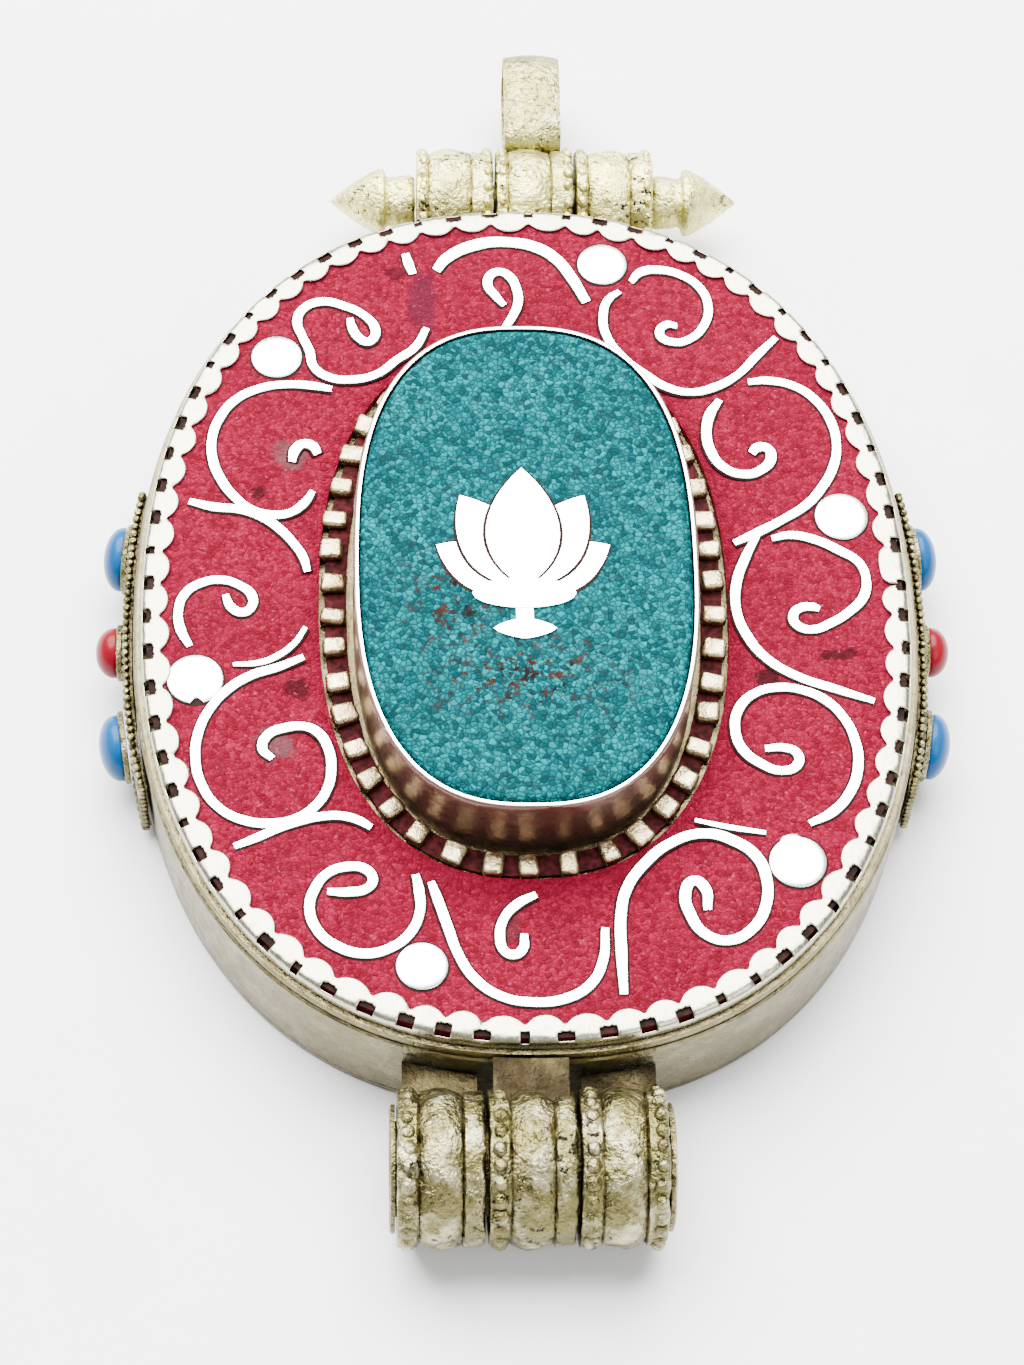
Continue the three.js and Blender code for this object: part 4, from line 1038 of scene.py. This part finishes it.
def build_stone():
    """The turquoise with its worn edge, its hidden bed, and the collet with its bright rim."""
    chosen = settings("stone")
    stone = node_box("turquoise_stone")
    collet = node_box("stone_collet")
    oval = stone_oval()
    low, high = stone.low.z, stone.high.z
    rows = [
        (-0.05, low), (0, low + 0.2), (0, high - 0.45), (-0.1, high - 0.2), (-0.3, high - 0.06),
        (-0.7, high - 0.01), (-2, high - 0.004), (-6, high - 0.002),
    ]
    mesh = band(oval, rows, steps=160, filled=True)
    finish_piece("turquoise_mosaic", mesh, "lid", "turquoise", ["turquoise_stone"])

    bed = node_box("stone_backing")
    rows = [(0, bed.low.z), (0, bed.high.z - 0.1), (-0.1, bed.high.z)]
    mesh = band(oval, rows, steps=96, filled=True)
    finish_piece("stone_bed", mesh, "lid", "pitch", ["stone_backing"])

    low, rim, wall = collet.low.z, collet.high.z, chosen.collet_wall
    gap = collet.size.x / 2 - stone.size.x / 2 - wall
    out = gap + wall
    rows = [
        (gap, low), (out, low), (out, low + 0.8), (out - 0.06, low + 2), (out - 0.1, low + 3.5),
        (out - 0.06, rim - 1), (out - 0.02, rim - 0.35), (out - 0.08, rim - 0.06), (out - 0.2, rim),
        (gap - 0.02, rim - 0.04), (gap - 0.04, rim - 0.2), (gap, rim - 0.5),
    ]
    mesh = band(oval, rows, steps=224)
    dent(mesh, -0.10, 2.6, 7, keep=lambda co: low + 0.5 < co.z < rim - 0.3 and oval.depth(co) < -gap)
    finish_piece("collet_band", mesh, "lid", "collet", ["stone_collet"], sharp=60)
    rows = [(gap, rim - 0.12), (out - 0.1, rim - 0.16), (out - 0.19, rim), (gap - 0.01, rim)]
    ring = band(oval, rows, steps=224)
    finish_piece("collet_rim", ring, "lid", "wire", sharp=40)


def build_beads():
    """The strip of pillow-shaped beads in dark solder round the collet."""
    chosen = settings("stone")
    strip = node_box("bead_strip")
    low, high = strip.low.z, strip.high.z
    middle = strip.centre.xy
    outer = Oval(strip.size.x / 2, strip.size.y / 2, BEAD_STRIP_SQUARENESS, middle)
    width = 1.7
    rows = [
        (-0.3, low), (-0.3, low + 0.3), (-0.4, low + 0.36),
        (-width + 0.1, low + 0.36), (-width, low + 0.3), (-width, low),
    ]
    mesh = band(outer, rows, steps=192)
    dent(mesh, 0.12, 1.2, 8, keep=lambda co: co.z > low + 0.3)
    finish_piece("bead_solder", mesh, "lid", "solder")

    draw = random.Random(23)
    ring = Oval(strip.size.x / 2 - width / 2, strip.size.y / 2 - width / 2, BEAD_STRIP_SQUARENESS, middle)
    mesh = bmesh.new()
    for index in range(chosen.beads):
        share = (index + 0.5 + draw.uniform(-0.07, 0.07)) / chosen.beads
        point, outward = ring.at(share)
        if -13 < point.x < -9 and 3.5 < point.y < 16:
            point = point + outward * 0.25
        turn = Matrix.Rotation(math.atan2(outward.y, outward.x) + draw.uniform(-0.12, 0.12), 3, "Z")
        tilt = Matrix.Rotation(draw.uniform(-0.12, 0.12), 3, "Y")
        grow = draw.uniform(0.88, 1.05)
        size = (chosen.bead_width * grow, chosen.bead_length * draw.uniform(0.80, 1.08), 0.85)
        top = high - 0.06 - draw.uniform(0, 0.1)
        pillow = bmesh.ops.create_cube(mesh, size=1, matrix=Matrix.LocRotScale(
            Vector((*point, top - size[2] / 2)), (turn @ tilt).to_quaternion(), Vector(size)
        ))
        edges = {edge for vert in pillow["verts"] for edge in vert.link_edges}
        bmesh.ops.bevel(
            mesh, geom=list(edges), offset=0.26, segments=3, profile=0.5, material=-1, affect="EDGES"
        )
    face_out(mesh)
    dent(mesh, 0.10, 0.8, 9)
    hold(mesh, Z, low + 0.05, high)
    finish_piece("bead_row", mesh, "lid", "bead", ["bead_strip"], sharp=0)


# ---- Lotus on the stone ----

LOTUS_BASE = Vector((-0.4, -2.2))
# Lean in degrees, length, width and level of each petal, from the back ones to the front one.
PETALS = (
    (60, 6.4, 3.4, 1.6), (-60, 6.4, 3.4, 1.6), (30, 8, 4, 2.6), (-30, 8, 4, 2.6), (0, 9, 4.6, 3.7),
)


def petal_outline(length, width, count=14):
    """Points round a petal that stands on its tip at the origin."""
    def half(side):
        points = []
        for index in range(count):
            share = index / count
            free = 1 - share
            x = side * width * (3 * free * free * share * 0.85 + 3 * free * share * share * 0.5)
            y = length * (3 * free * free * share * 0.3 + 3 * free * share * share * 0.75 + share ** 3)
            points.append(Vector((x, y)))
        return points
    right = half(1)
    left = half(-1)[1:]
    return right + [Vector((0, length))] + left[::-1]


def flat_piece(mesh, outline, low, high, edge=0.13):
    """Adds a thin flat piece with a softened rim, from an outline."""
    face = mesh.faces.new([mesh.verts.new((*point, low)) for point in outline])
    raised = bmesh.ops.extrude_face_region(mesh, geom=[face])["geom"]
    verts = [item for item in raised if isinstance(item, bmesh.types.BMVert)]
    top = next(item for item in raised if isinstance(item, bmesh.types.BMFace))
    bmesh.ops.translate(mesh, vec=(0, 0, high - low), verts=verts)
    bmesh.ops.inset_region(mesh, faces=[top], thickness=edge, depth=0)
    for vert in {vert for vert in mesh.verts if vert.co.z > high - 1e-6} - set(top.verts):
        if vert in verts:
            vert.co.z -= edge * 0.6


def build_emblem():
    """A lotus in flat silver: petals, a bowl, a stem and its root."""
    box = node_box("emblem")
    low, high = box.low.z - 0.03, box.high.z
    step = (high - box.low.z) / 4
    mesh = bmesh.new()
    lines = bmesh.new()
    for lean, length, width, level in PETALS:
        turn = Matrix.Rotation(math.radians(-lean), 2)
        outline = [turn @ point + LOTUS_BASE for point in petal_outline(length, width)]
        flat_piece(mesh, outline, low, box.low.z + step * level)
        # Painted shadow: a dark copy of each petal, a little larger, lower and shifted down, shows as a dark
        # rim below its edge.
        wider = petal_outline(length + 0.24, width + 0.4)
        shadow = [turn @ (point - Vector((0, 0.12))) + LOTUS_BASE for point in wider]
        flat_piece(lines, shadow, low, box.low.z + step * (level - 0.5))
    face_out(lines)
    finish_piece("petal_lines", lines, "lid", "pitch", sharp=30)
    under = LOTUS_BASE - Vector((0, 0.4))
    foot = under - Vector((0, 2.6))
    side = Vector((0.55, 0))
    shapes = (
        ([under - side, foot - side, foot + side, under + side], 2.5),
        ([Oval(3.3, 1.1, 2, under).at(index / 32)[0] for index in range(32)], 3.95),
        ([Oval(2, 0.75, 1.4, foot).at(index / 24)[0] for index in range(24)], 3.8),
    )
    for outline, level in shapes:
        flat_piece(mesh, outline, low, box.low.z + step * level)
    face_out(mesh)
    finish_piece("lotus_emblem", mesh, "lid", "wire", ["emblem"], sharp=30)


# ---- Hinge barrel ----


def cast_barrel(start, end, axis, radius, bore, ring, swell, steps=84):
    """The turned body of a knuckle: a seat for each bead ring, a convex band, a plain strip."""
    profile = [(start, bore), (start, radius - 0.1), (start + 0.1, radius)]
    if ring:
        profile += [(start + 0.25, radius), (start + ring - 0.2, radius), (start + ring, radius - 0.25)]
    first = start + ring + 0.12
    width = (end - first) * 0.62
    for index in range(9):
        share = index / 8
        profile.append((first + width * share, radius - 0.12 + swell * math.sin(math.pi * share)))
    profile += [
        (first + width + 0.1, radius - 0.25), (first + width + 0.25, radius - 0.02),
        (end - 0.25, radius - 0.02), (end - 0.08, radius - 0.12), (end, radius - 0.3),
        (end, bore), (start, bore),
    ]
    fine = []
    for (x, r), (next_x, next_r) in zip(profile, profile[1:]):
        parts = max(1, round(abs(next_x - x) / 0.35))
        fine += [(x + (next_x - x) * part / parts, r + (next_r - r) * part / parts) for part in range(parts)]
    fine.append(profile[-1])
    return turned(fine, axis, steps)


def leaf_strip(start, end, near, low, high, oval):
    """A strip from a knuckle to the case, cut to the case's curve and bent a little."""
    mesh = bmesh.new()
    bmesh.ops.create_grid(mesh, x_segments=12, y_segments=6, size=0.5)
    for vert in mesh.verts:
        across, along = vert.co.x + 0.5, vert.co.y + 0.5
        x = start + (end - start) * across
        vert.co = (x, near + (-oval.reach(Y, x) - near) * along, low)
    face_out(mesh)
    raised = bmesh.ops.extrude_face_region(mesh, geom=mesh.faces[:])["geom"]
    top = [item for item in raised if isinstance(item, bmesh.types.BMVert)]
    bmesh.ops.translate(mesh, vec=(0, 0, high - low), verts=top)
    face_out(mesh)
    return mesh


def build_hinge():
    """Three cast knuckles with beaded rings, their leaves, and the pin through them."""
    chosen = settings("barrels")
    names = ("hinge_knuckle_left", "hinge_knuckle_centre", "hinge_knuckle_right")
    pin = node_box("hinge_pin")
    axis = pin.centre
    case = case_oval()
    radius = axis.z - node_box(names[0]).low.z  # out to the bead rings
    body_radius = radius - 0.42
    bore = pin.size.z / 2 - 0.72  # the pin's heads stand 1 proud, and it runs 0.3 clear
    draw = random.Random(31)
    for index, name in enumerate(names):
        box = node_box(name)
        start, end = box.low.x, box.high.x
        mesh = cast_barrel(start, end, axis, body_radius, bore, 1.35, 0.3)
        dent(mesh, chosen.wear, 1.1, 13 + index, keep=beyond(axis, bore + 0.2))
        bead_ring(mesh, start + 0.68, body_radius - 0.22, chosen.hinge_beads, (0.56, 0.52, 0.62), axis, draw)
        if index == 2:
            bead_ring(mesh, end - 0.5, body_radius - 0.12, chosen.hinge_beads, (0.46, 0.5, 0.52), axis, draw)
        body = "lid" if index == 1 else "case"
        lid_base = node_box("lid_plate").low.z
        low = lid_base if index == 1 else axis.z - 0.45
        rise = max(low - axis.z, 0)
        near = axis.y + math.sqrt(max((bore + 0.5) ** 2 - rise ** 2, 0.04))
        leaf = leaf_strip(start + 0.35, end - 0.35, near, low, low + 0.85, case.grown(0.1))
        # The leaf's near-black finish is painted shade.
        finish_piece("leaf_of_" + name, leaf, body, "leaf", sharp=50)
        dent(mesh, 0.05, 0.5, 17, keep=beyond(axis, bore + 0.3))
        press_round(mesh, axis, radius, spared=1)
        hold(mesh, X, start, end)
        hold(mesh, Z, high=axis.z + radius)
        finish_piece("cast_" + name, mesh, body, "cast", [name], sharp=50)

    wall, head = 0.8, 0.35
    outer = bore - 0.3
    low, high = pin.low.x, pin.high.x
    profile = [
        (low, outer - wall), (low, outer + 0.85), (low + 0.1, outer + 1),
        (low + head, outer + 1), (low + head, outer), (high - head, outer),
        (high - head, outer + 1), (high - 0.1, outer + 1), (high, outer + 0.85),
        (high, outer - wall), (low, outer - wall),
    ]
    mesh = turned(profile, axis, 48)
    finish_piece("hinge_tube", mesh, "case", "cast", ["hinge_pin"])


# ---- Top tube, finials and bail ----


def build_top():
    """The small beaded tube, its leaves, the pin through it and a cone at each end."""
    chosen = settings("barrels")
    axis = node_box("lock_pin_rod").centre
    case = case_oval()
    draw = random.Random(47)
    for index, name in enumerate(("top_knuckle_left", "bail_knuckle", "top_knuckle_right")):
        box = node_box(name)
        start, end = box.low.x, box.high.x
        radius = box.high.z - axis.z
        body_radius = radius - 0.34
        bore = KNUCKLE_BORE
        mesh = cast_barrel(start, end, axis, body_radius, bore, 0.85, 0.26, 60)
        dent(mesh, chosen.wear, 0.9, 21 + index, keep=beyond(axis, bore + 0.2))
        bead_ring(mesh, start + 0.45, body_radius - 0.14, chosen.top_beads, (0.4, 0.42, 0.46), axis, draw)
        bead_ring(mesh, end - 0.4, body_radius - 0.14, chosen.top_beads, (0.36, 0.42, 0.44), axis, draw)
        if index != 1:
            near = axis.y - bore - 0.4
            leaf = leaf_strip(start + 0.65, end - 0.65, -near, axis.z - 0.9, axis.z + 0.85, case.grown(0.1))
            bmesh.ops.scale(leaf, vec=(1, -1, 1), verts=leaf.verts)
            face_out(leaf)
            join(mesh, leaf)
        dent(mesh, 0.04, 0.45, 27, keep=beyond(axis, bore + 0.3))
        press_round(mesh, axis, radius, spared=-1)
        hold(mesh, X, start, end)
        body = "bail" if index == 1 else "case"
        finish_piece("cast_" + name, mesh, body, "tube", [name], sharp=50)

    for name, body, side in (("finial_left", "lock_pin", -1), ("finial_right", "case", 1)):
        box = node_box(name)
        root = box.high.x if side < 0 else box.low.x
        tip = box.low.x if side < 0 else box.high.x
        radius = box.size.z / 2
        outline = [
            (0, 0.0), (0, 0.72), (0.06, 0.8), (0.2, 0.78), (0.3, 0.72), (0.34, 0.76),
            (0.37, 0.97), (0.41, 1.0), (0.45, 0.97), (0.6, 0.78), (0.75, 0.52), (0.88, 0.27),
            (0.96, 0.11), (1.0, 0.0),
        ]
        if side > 0:  # the blind bore that takes the end of the pin
            outline = [(0.26, 0.0), (0.26, 0.62), (0, 0.64)] + outline[1:]
        profile = [(root + (tip - root) * share, radius * part) for share, part in outline]
        mesh = turned(profile, axis, 48)
        bmesh.ops.subdivide_edges(mesh, edges=mesh.edges[:], cuts=1, use_grid_fill=True)
        dent(mesh, 0.09, 1.0, 35 + side, keep=beyond(axis, 1.65))
        press_round(mesh, axis, radius)
        finish_piece("cast_" + name, mesh, body, "tube", [name], sharp=40)

    rod = node_box("lock_pin_rod")
    radius = rod.size.z / 2
    profile = [
        (rod.low.x, 0), (rod.low.x, radius), (rod.high.x - 0.3, radius),
        (rod.high.x, radius - 0.3), (rod.high.x, 0),
    ]
    mesh = turned(profile, axis, 32)
    finish_piece("lock_rod", mesh, "lock_pin", "case", ["lock_pin_rod"])


def build_bail():
    """The strip bent into an eye for the cord, crowned across its width and worn."""
    box = node_box("bail_loop")
    axis = node_box("lock_pin_rod").centre
    knuckle = node_box("bail_knuckle")
    far = box.high.y
    seat = knuckle.high.z - axis.z - 0.34
    start_y = axis.y + seat - 0.35
    half_length, half_depth = (far - start_y) / 2, box.size.z / 2
    oval = Oval(half_length, half_depth, 3.2)
    wall, width = 0.65, box.size.x
    steps = 72
    places = [oval.at(index / steps) for index in range(steps)]
    crown = 0.22
    across = [(-0.5, 0.05), (-0.42, 0), (-0.2, 0), (0, 0), (0.2, 0), (0.42, 0), (0.5, 0.05)]
    rows = [(share, inset + crown * (2 * share) ** 2) for share, inset in across]
    rows += [(share, wall + crown * 0.4 * (2 * share) ** 2 - 0.02) for share, _ in reversed(across)]

    def place(step, row):
        share, inset = row
        point, outward = places[step]
        here = point - outward * inset
        return (box.centre.x + share * width, start_y + half_length + here.x, axis.z + here.y)

    mesh = swept(steps, rows, place)
    bmesh.ops.subdivide_edges(mesh, edges=mesh.edges[:], cuts=1, use_grid_fill=True, smooth=0.0)
    dent(mesh, 0.06, 1.4, 41)
    hold(mesh, X, box.low.x, box.high.x)
    hold(mesh, Y, high=box.high.y)
    hold(mesh, Z, box.low.z, box.high.z)
    finish_piece("bail_strip", mesh, "bail", "bail", ["bail_loop"], sharp=50)


# ---- Side plates with their cabochons ----


def build_sides():
    """A plate with beaded edges on each long side, and three set stones on each plate."""
    chosen = settings("sides")
    oval = case_oval()
    draw = random.Random(59)
    for side, sign in (("left", -1), ("right", 1)):
        name = f"side_plate_{side}"
        box = node_box(name)
        low, high = box.low.z, box.high.z
        near = abs(box.high.x if sign > 0 else box.low.x) - oval.half[0] - 0.6
        face = oval.grown(near + 0.55)
        start, end = box.low.y, box.high.y

        def share_at(y):
            shares = [index / 2000 for index in range(-500, 501)]
            return min(shares, key=lambda share: abs(face.at(share)[0].y - y))

        first, last = share_at(start + 0.1), share_at(end - 0.1)
        mesh = bmesh.new()
        bmesh.ops.create_grid(mesh, x_segments=48, y_segments=12, size=0.5)
        for vert in mesh.verts:
            share = first + (last - first) * (vert.co.x + 0.5)
            point, outward = face.at(share)
            up = vert.co.y + 0.5
            point = point - outward * 0.12 * abs(2 * up - 1) ** 6
            vert.co = (sign * point.x, point.y, low + 0.3 + (high - low - 0.6) * up)
        face_out(mesh)
        if sum(face_.normal.x for face_ in mesh.faces) * sign < 0:
            bmesh.ops.reverse_faces(mesh, faces=mesh.faces)
        bmesh.ops.solidify(mesh, geom=mesh.faces[:], thickness=0.4)
        size = chosen.edge_bead
        count = round((end - start) / (size * 1.9))
        for index in range(count):
            share = first + (last - first) * (index + 0.5) / count
            point, outward = face.at(share)
            for height in (low + size * 0.8, high - size * 0.8):
                place = Vector((sign * (point.x - outward.x * 0.12), point.y - outward.y * 0.12, height))
                bead(mesh, place, [size * draw.uniform(0.85, 1.02) for _ in range(3)])
        rungs = round((high - low) / (size * 1.9))
        for share in (first, last):
            point, outward = face.at(share)
            for index in range(rungs):
                height = low + (high - low) * (index + 0.5) / rungs
                place = Vector((sign * (point.x - outward.x * 0.12), point.y - outward.y * 0.12, height))
                bead(mesh, place, [size * draw.uniform(0.85, 1.0) for _ in range(3)])
        dent(mesh, 0.05, 0.9, 51)
        hold(mesh, Y, start, end)
        hold(mesh, Z, low, high)
        finish_piece(f"beaded_plate_{side}", mesh, "case", "cast", [name], sharp=50)

        for level, tint in (("upper", "blue"), ("middle", "red"), ("lower", "blue")):
            set_cabochon(side, sign, level, tint, oval, chosen, draw)


def set_cabochon(side, sign, level, tint, oval, chosen, draw):
    """One domed stone in its cup, with a ring of small beads at its foot."""
    cup = node_box(f"cabochon_cup_{side}_{level}")
    stone = node_box(f"cabochon_{side}_{level}")
    y, height = cup.centre.y, cup.centre.z
    power = oval.squareness
    edge = oval.reach(X, y)
    slope = Vector((
        edge ** (power - 1) / oval.half[0] ** power,
        math.copysign(abs(y) ** (power - 1), y) / oval.half[1] ** power,
    )).normalized()
    angle = math.atan2(slope.y, sign * slope.x)
    radius = cup.size.z / 2 - 0.25
    outside = max(abs(stone.low.x), abs(stone.high.x))
    rise = 0.15 + 0.2 + 0.1 + 1.5  # foot, cup floor, clearance and dome of the frame's cabochon
    root_y = stone.centre.y - math.sin(angle) * (rise - 0.75)
    root = Vector((sign * (outside - rise * slope.x), root_y, height))
    turn = Euler((0, 0, angle)).to_matrix().to_4x4()

    def stand(mesh):
        bmesh.ops.transform(mesh, matrix=Matrix.Translation(root) @ turn, verts=mesh.verts)
        return mesh

    origin = Vector((0, 0, 0))
    seat, wall = radius + 0.03, 0.2
    profile = [
        (0.15, 0), (0.15, seat + wall - 0.05), (0.2, seat + wall), (0.45, seat + wall - 0.02),
        (0.52, seat + wall - 0.1),
        (0.52, seat + 0.03), (0.47, seat), (0.35, seat), (0.35, 0),
    ]
    mesh = turned(profile, origin, 40)
    for index in range(chosen.cup_beads):
        spin = TURN * index / chosen.cup_beads
        out = Vector((0.36, math.cos(spin) * (seat + wall - 0.2), math.sin(spin) * (seat + wall - 0.2)))
        bead(mesh, out, [0.21 * draw.uniform(0.9, 1.05)] * 3)
    name = f"cabochon_cup_{side}_{level}"
    finish_piece(f"setting_{side}_{level}", stand(mesh), "case", "cast", [name])

    dome = [(0.45, 0), (0.45, radius - 0.1), (0.5, radius - 0.02), (0.75, radius)]
    for index in range(1, 13):
        lift = math.pi / 2 * index / 12
        dome.append((0.75 + 1.2 * math.sin(lift), radius * math.cos(lift)))
    mesh = turned(dome, origin, 40)
    name = f"cabochon_{side}_{level}"
    finish_piece(f"domed_stone_{side}_{level}", stand(mesh), "case", tint, [name], sharp=60)


# ---- Contents ----


def build_contents():
    """The rolled prayer strip, wound loosely, and the thread round it."""
    box = node_box("prayer_roll")
    radius, bore = box.size.z / 2, 0.8
    centre = box.centre
    turns, steps = 7, 32
    mesh = bmesh.new()
    verts = []
    for index in range(turns * steps + 1):
        share = index / (turns * steps)
        reach = bore + 0.1 + (radius - bore - 0.22) * share
        angle = TURN * turns * share
        verts.append(mesh.verts.new((reach * math.cos(angle), 0, reach * math.sin(angle))))
    edges = [mesh.edges.new(pair) for pair in zip(verts, verts[1:])]
    made = bmesh.ops.extrude_edge_only(mesh, edges=edges)["geom"]
    far = [item for item in made if isinstance(item, bmesh.types.BMVert)]
    bmesh.ops.translate(mesh, vec=(0, box.size.y - 0.1, 0), verts=far)
    face_out(mesh)
    bmesh.ops.solidify(mesh, geom=mesh.faces[:], thickness=0.14)
    bmesh.ops.translate(mesh, vec=(centre.x, box.low.y + 0.05, centre.z), verts=mesh.verts)
    finish_piece("rolled_prayer", mesh, "case", "paper", ["prayer_roll"], sharp=50)

    box = node_box("roll_tie")
    outer = box.size.z / 2
    strand = 0.19
    mesh = bmesh.new()
    for index in range(5):
        y = box.low.y + strand + (box.size.y - 2 * strand) * index / 4
        ring = bmesh.new()
        circle = bmesh.ops.create_circle(
            ring, segments=8, radius=strand,
            matrix=Matrix.Translation((outer - strand, 0, 0)) @ Matrix.Rotation(math.pi / 2, 4, "X"),
        )
        bmesh.ops.spin(
            ring, geom=circle["verts"] + ring.edges[:], cent=(0, 0, 0), axis=(0, 1, 0), dvec=(0, 0, 0),
            angle=TURN, steps=40, use_merge=True,
        )
        bmesh.ops.remove_doubles(ring, verts=ring.verts, dist=1e-4)
        face_out(ring)
        bmesh.ops.translate(ring, vec=(box.centre.x, y, box.centre.z), verts=ring.verts)
        join(mesh, ring)
    finish_piece("tie_thread", mesh, "case", "thread", ["roll_tie"], sharp=0)


# ---- Stage ----


def build_stage():
    """A pale table, soft light from overhead and the camera."""
    chosen = settings("stage")
    scene = bpy.context.scene
    mesh = bmesh.new()
    bmesh.ops.create_grid(mesh, x_segments=2, y_segments=2, size=1.5)
    data = bpy.data.meshes.new("table")
    mesh.to_mesh(data)
    mesh.free()
    data.materials.append(FINISHES["floor"])
    table = bpy.data.objects.new("table", data)
    scene.collection.objects.link(table)

    world = bpy.data.worlds.new("studio")
    world.use_nodes = True
    back = world.node_tree.nodes["Background"]
    back.inputs["Color"].default_value = (0.96, 0.98, 1.0, 1)
    back.inputs["Strength"].default_value = chosen.sky
    scene.world = world

    def soft_lamp(name, place, aim, size, power):
        light = bpy.data.lights.new(name, "AREA")
        light.shape = "RECTANGLE"
        light.size, light.size_y = size
        light.energy = power
        lamp = bpy.data.objects.new(name, light)
        lamp.location = place
        lamp.rotation_euler = (Vector(aim) - Vector(place)).to_track_quat("-Z", "Y").to_euler()
        scene.collection.objects.link(lamp)

    soft_lamp("overhead", (-0.06, 0.26, 0.5), (0, 0, 0), (0.75, 0.6), chosen.key)
    soft_lamp("front", (0.25, -0.3, 0.35), (0, -0.02, 0), (0.3, 0.3), chosen.key * 0.045)

    camera = bpy.data.cameras.new("camera")
    camera.lens = chosen.lens
    camera.sensor_width = 36
    camera.clip_start, camera.clip_end = 0.01, 10
    eye = bpy.data.objects.new("camera", camera)
    place = Vector((-10.26, -119.56, 208.37)) * MM
    aim = Vector((-1.1, -6.39, 9.5)) * MM
    look = (aim - place).normalized()
    right = look.cross(UP).normalized()
    up = right.cross(look)
    roll = math.radians(3.96)
    right, up = (
        math.cos(roll) * right + math.sin(roll) * up,
        -math.sin(roll) * right + math.cos(roll) * up,
    )
    eye.matrix_world = Matrix((
        (right.x, up.x, -look.x, place.x), (right.y, up.y, -look.y, place.y),
        (right.z, up.z, -look.z, place.z), (0, 0, 0, 1),
    ))
    scene.collection.objects.link(eye)
    scene.camera = eye


# ---- Operators and panel ----


def make_operator(name, label, text, steps):
    """An operator class that runs the given steps."""
    def execute(self, context):
        for step in steps:
            step()
        return {"FINISHED"}

    return type(
        f"PRAYERBOX_OT_{name}", (bpy.types.Operator,),
        {"bl_idname": f"prayerbox.{name}", "bl_label": label, "__doc__": text, "execute": execute},
    )


OPERATORS = [
    make_operator(*entry) for entry in (
        ("finishes", "Mix Finishes", "Make the metals, stones and papers", [mix_finishes]),
        ("case", "Build Case", "Build the tray, its back and the lid's sheet", [build_case, build_lid_plate]),
        ("edge", "Build Scalloped Edge", "Build the bent edge round the coral", [build_edge]),
        ("inlay", "Build Inlay", "Build the coral, its wires and dots", [build_coral, build_scrolls]),
        (
            "stone", "Build Stone", "Build the turquoise, collet, beads and lotus",
            [build_stone, build_beads, build_emblem],
        ),
        ("hinge", "Build Hinge", "Build the cast hinge barrel", [build_hinge]),
        ("top", "Build Top", "Build the top tube, its pin and the bail", [build_top, build_bail]),
        ("sides", "Build Side Plates", "Build the side plates and cabochons", [build_sides]),
        ("contents", "Build Contents", "Build the rolled prayer and its thread", [build_contents]),
        ("stage", "Set Stage", "Set the table, lights and camera", [build_stage]),
    )
]


class PRAYERBOX_PT_panel(bpy.types.Panel):
    """Lists the settings and the steps in order"""

    bl_label = "Prayer Box"
    bl_idname = "PRAYERBOX_PT_panel"
    bl_space_type = "VIEW_3D"
    bl_region_type = "UI"
    bl_category = "Prayer Box"

    def draw(self, context):
        for group, kind in GROUPS.items():
            box = self.layout.box()
            values = getattr(context.scene, group)
            for name in kind.__annotations__:
                box.prop(values, name)
        for operator in OPERATORS:
            self.layout.operator(operator.bl_idname)


CLASSES = [*GROUPS.values(), *OPERATORS, PRAYERBOX_PT_panel]


def register():
    for kind in CLASSES:
        bpy.utils.register_class(kind)
    for group, kind in GROUPS.items():
        setattr(bpy.types.Scene, group, bpy.props.PointerProperty(type=kind))


def unregister():
    for group in GROUPS:
        delattr(bpy.types.Scene, group)
    for kind in reversed(CLASSES):
        bpy.utils.unregister_class(kind)


def main():
    register()
    for operator in OPERATORS:
        getattr(bpy.ops.prayerbox, operator.bl_idname.split(".")[1])()


if __name__ == "__main__":
    main()
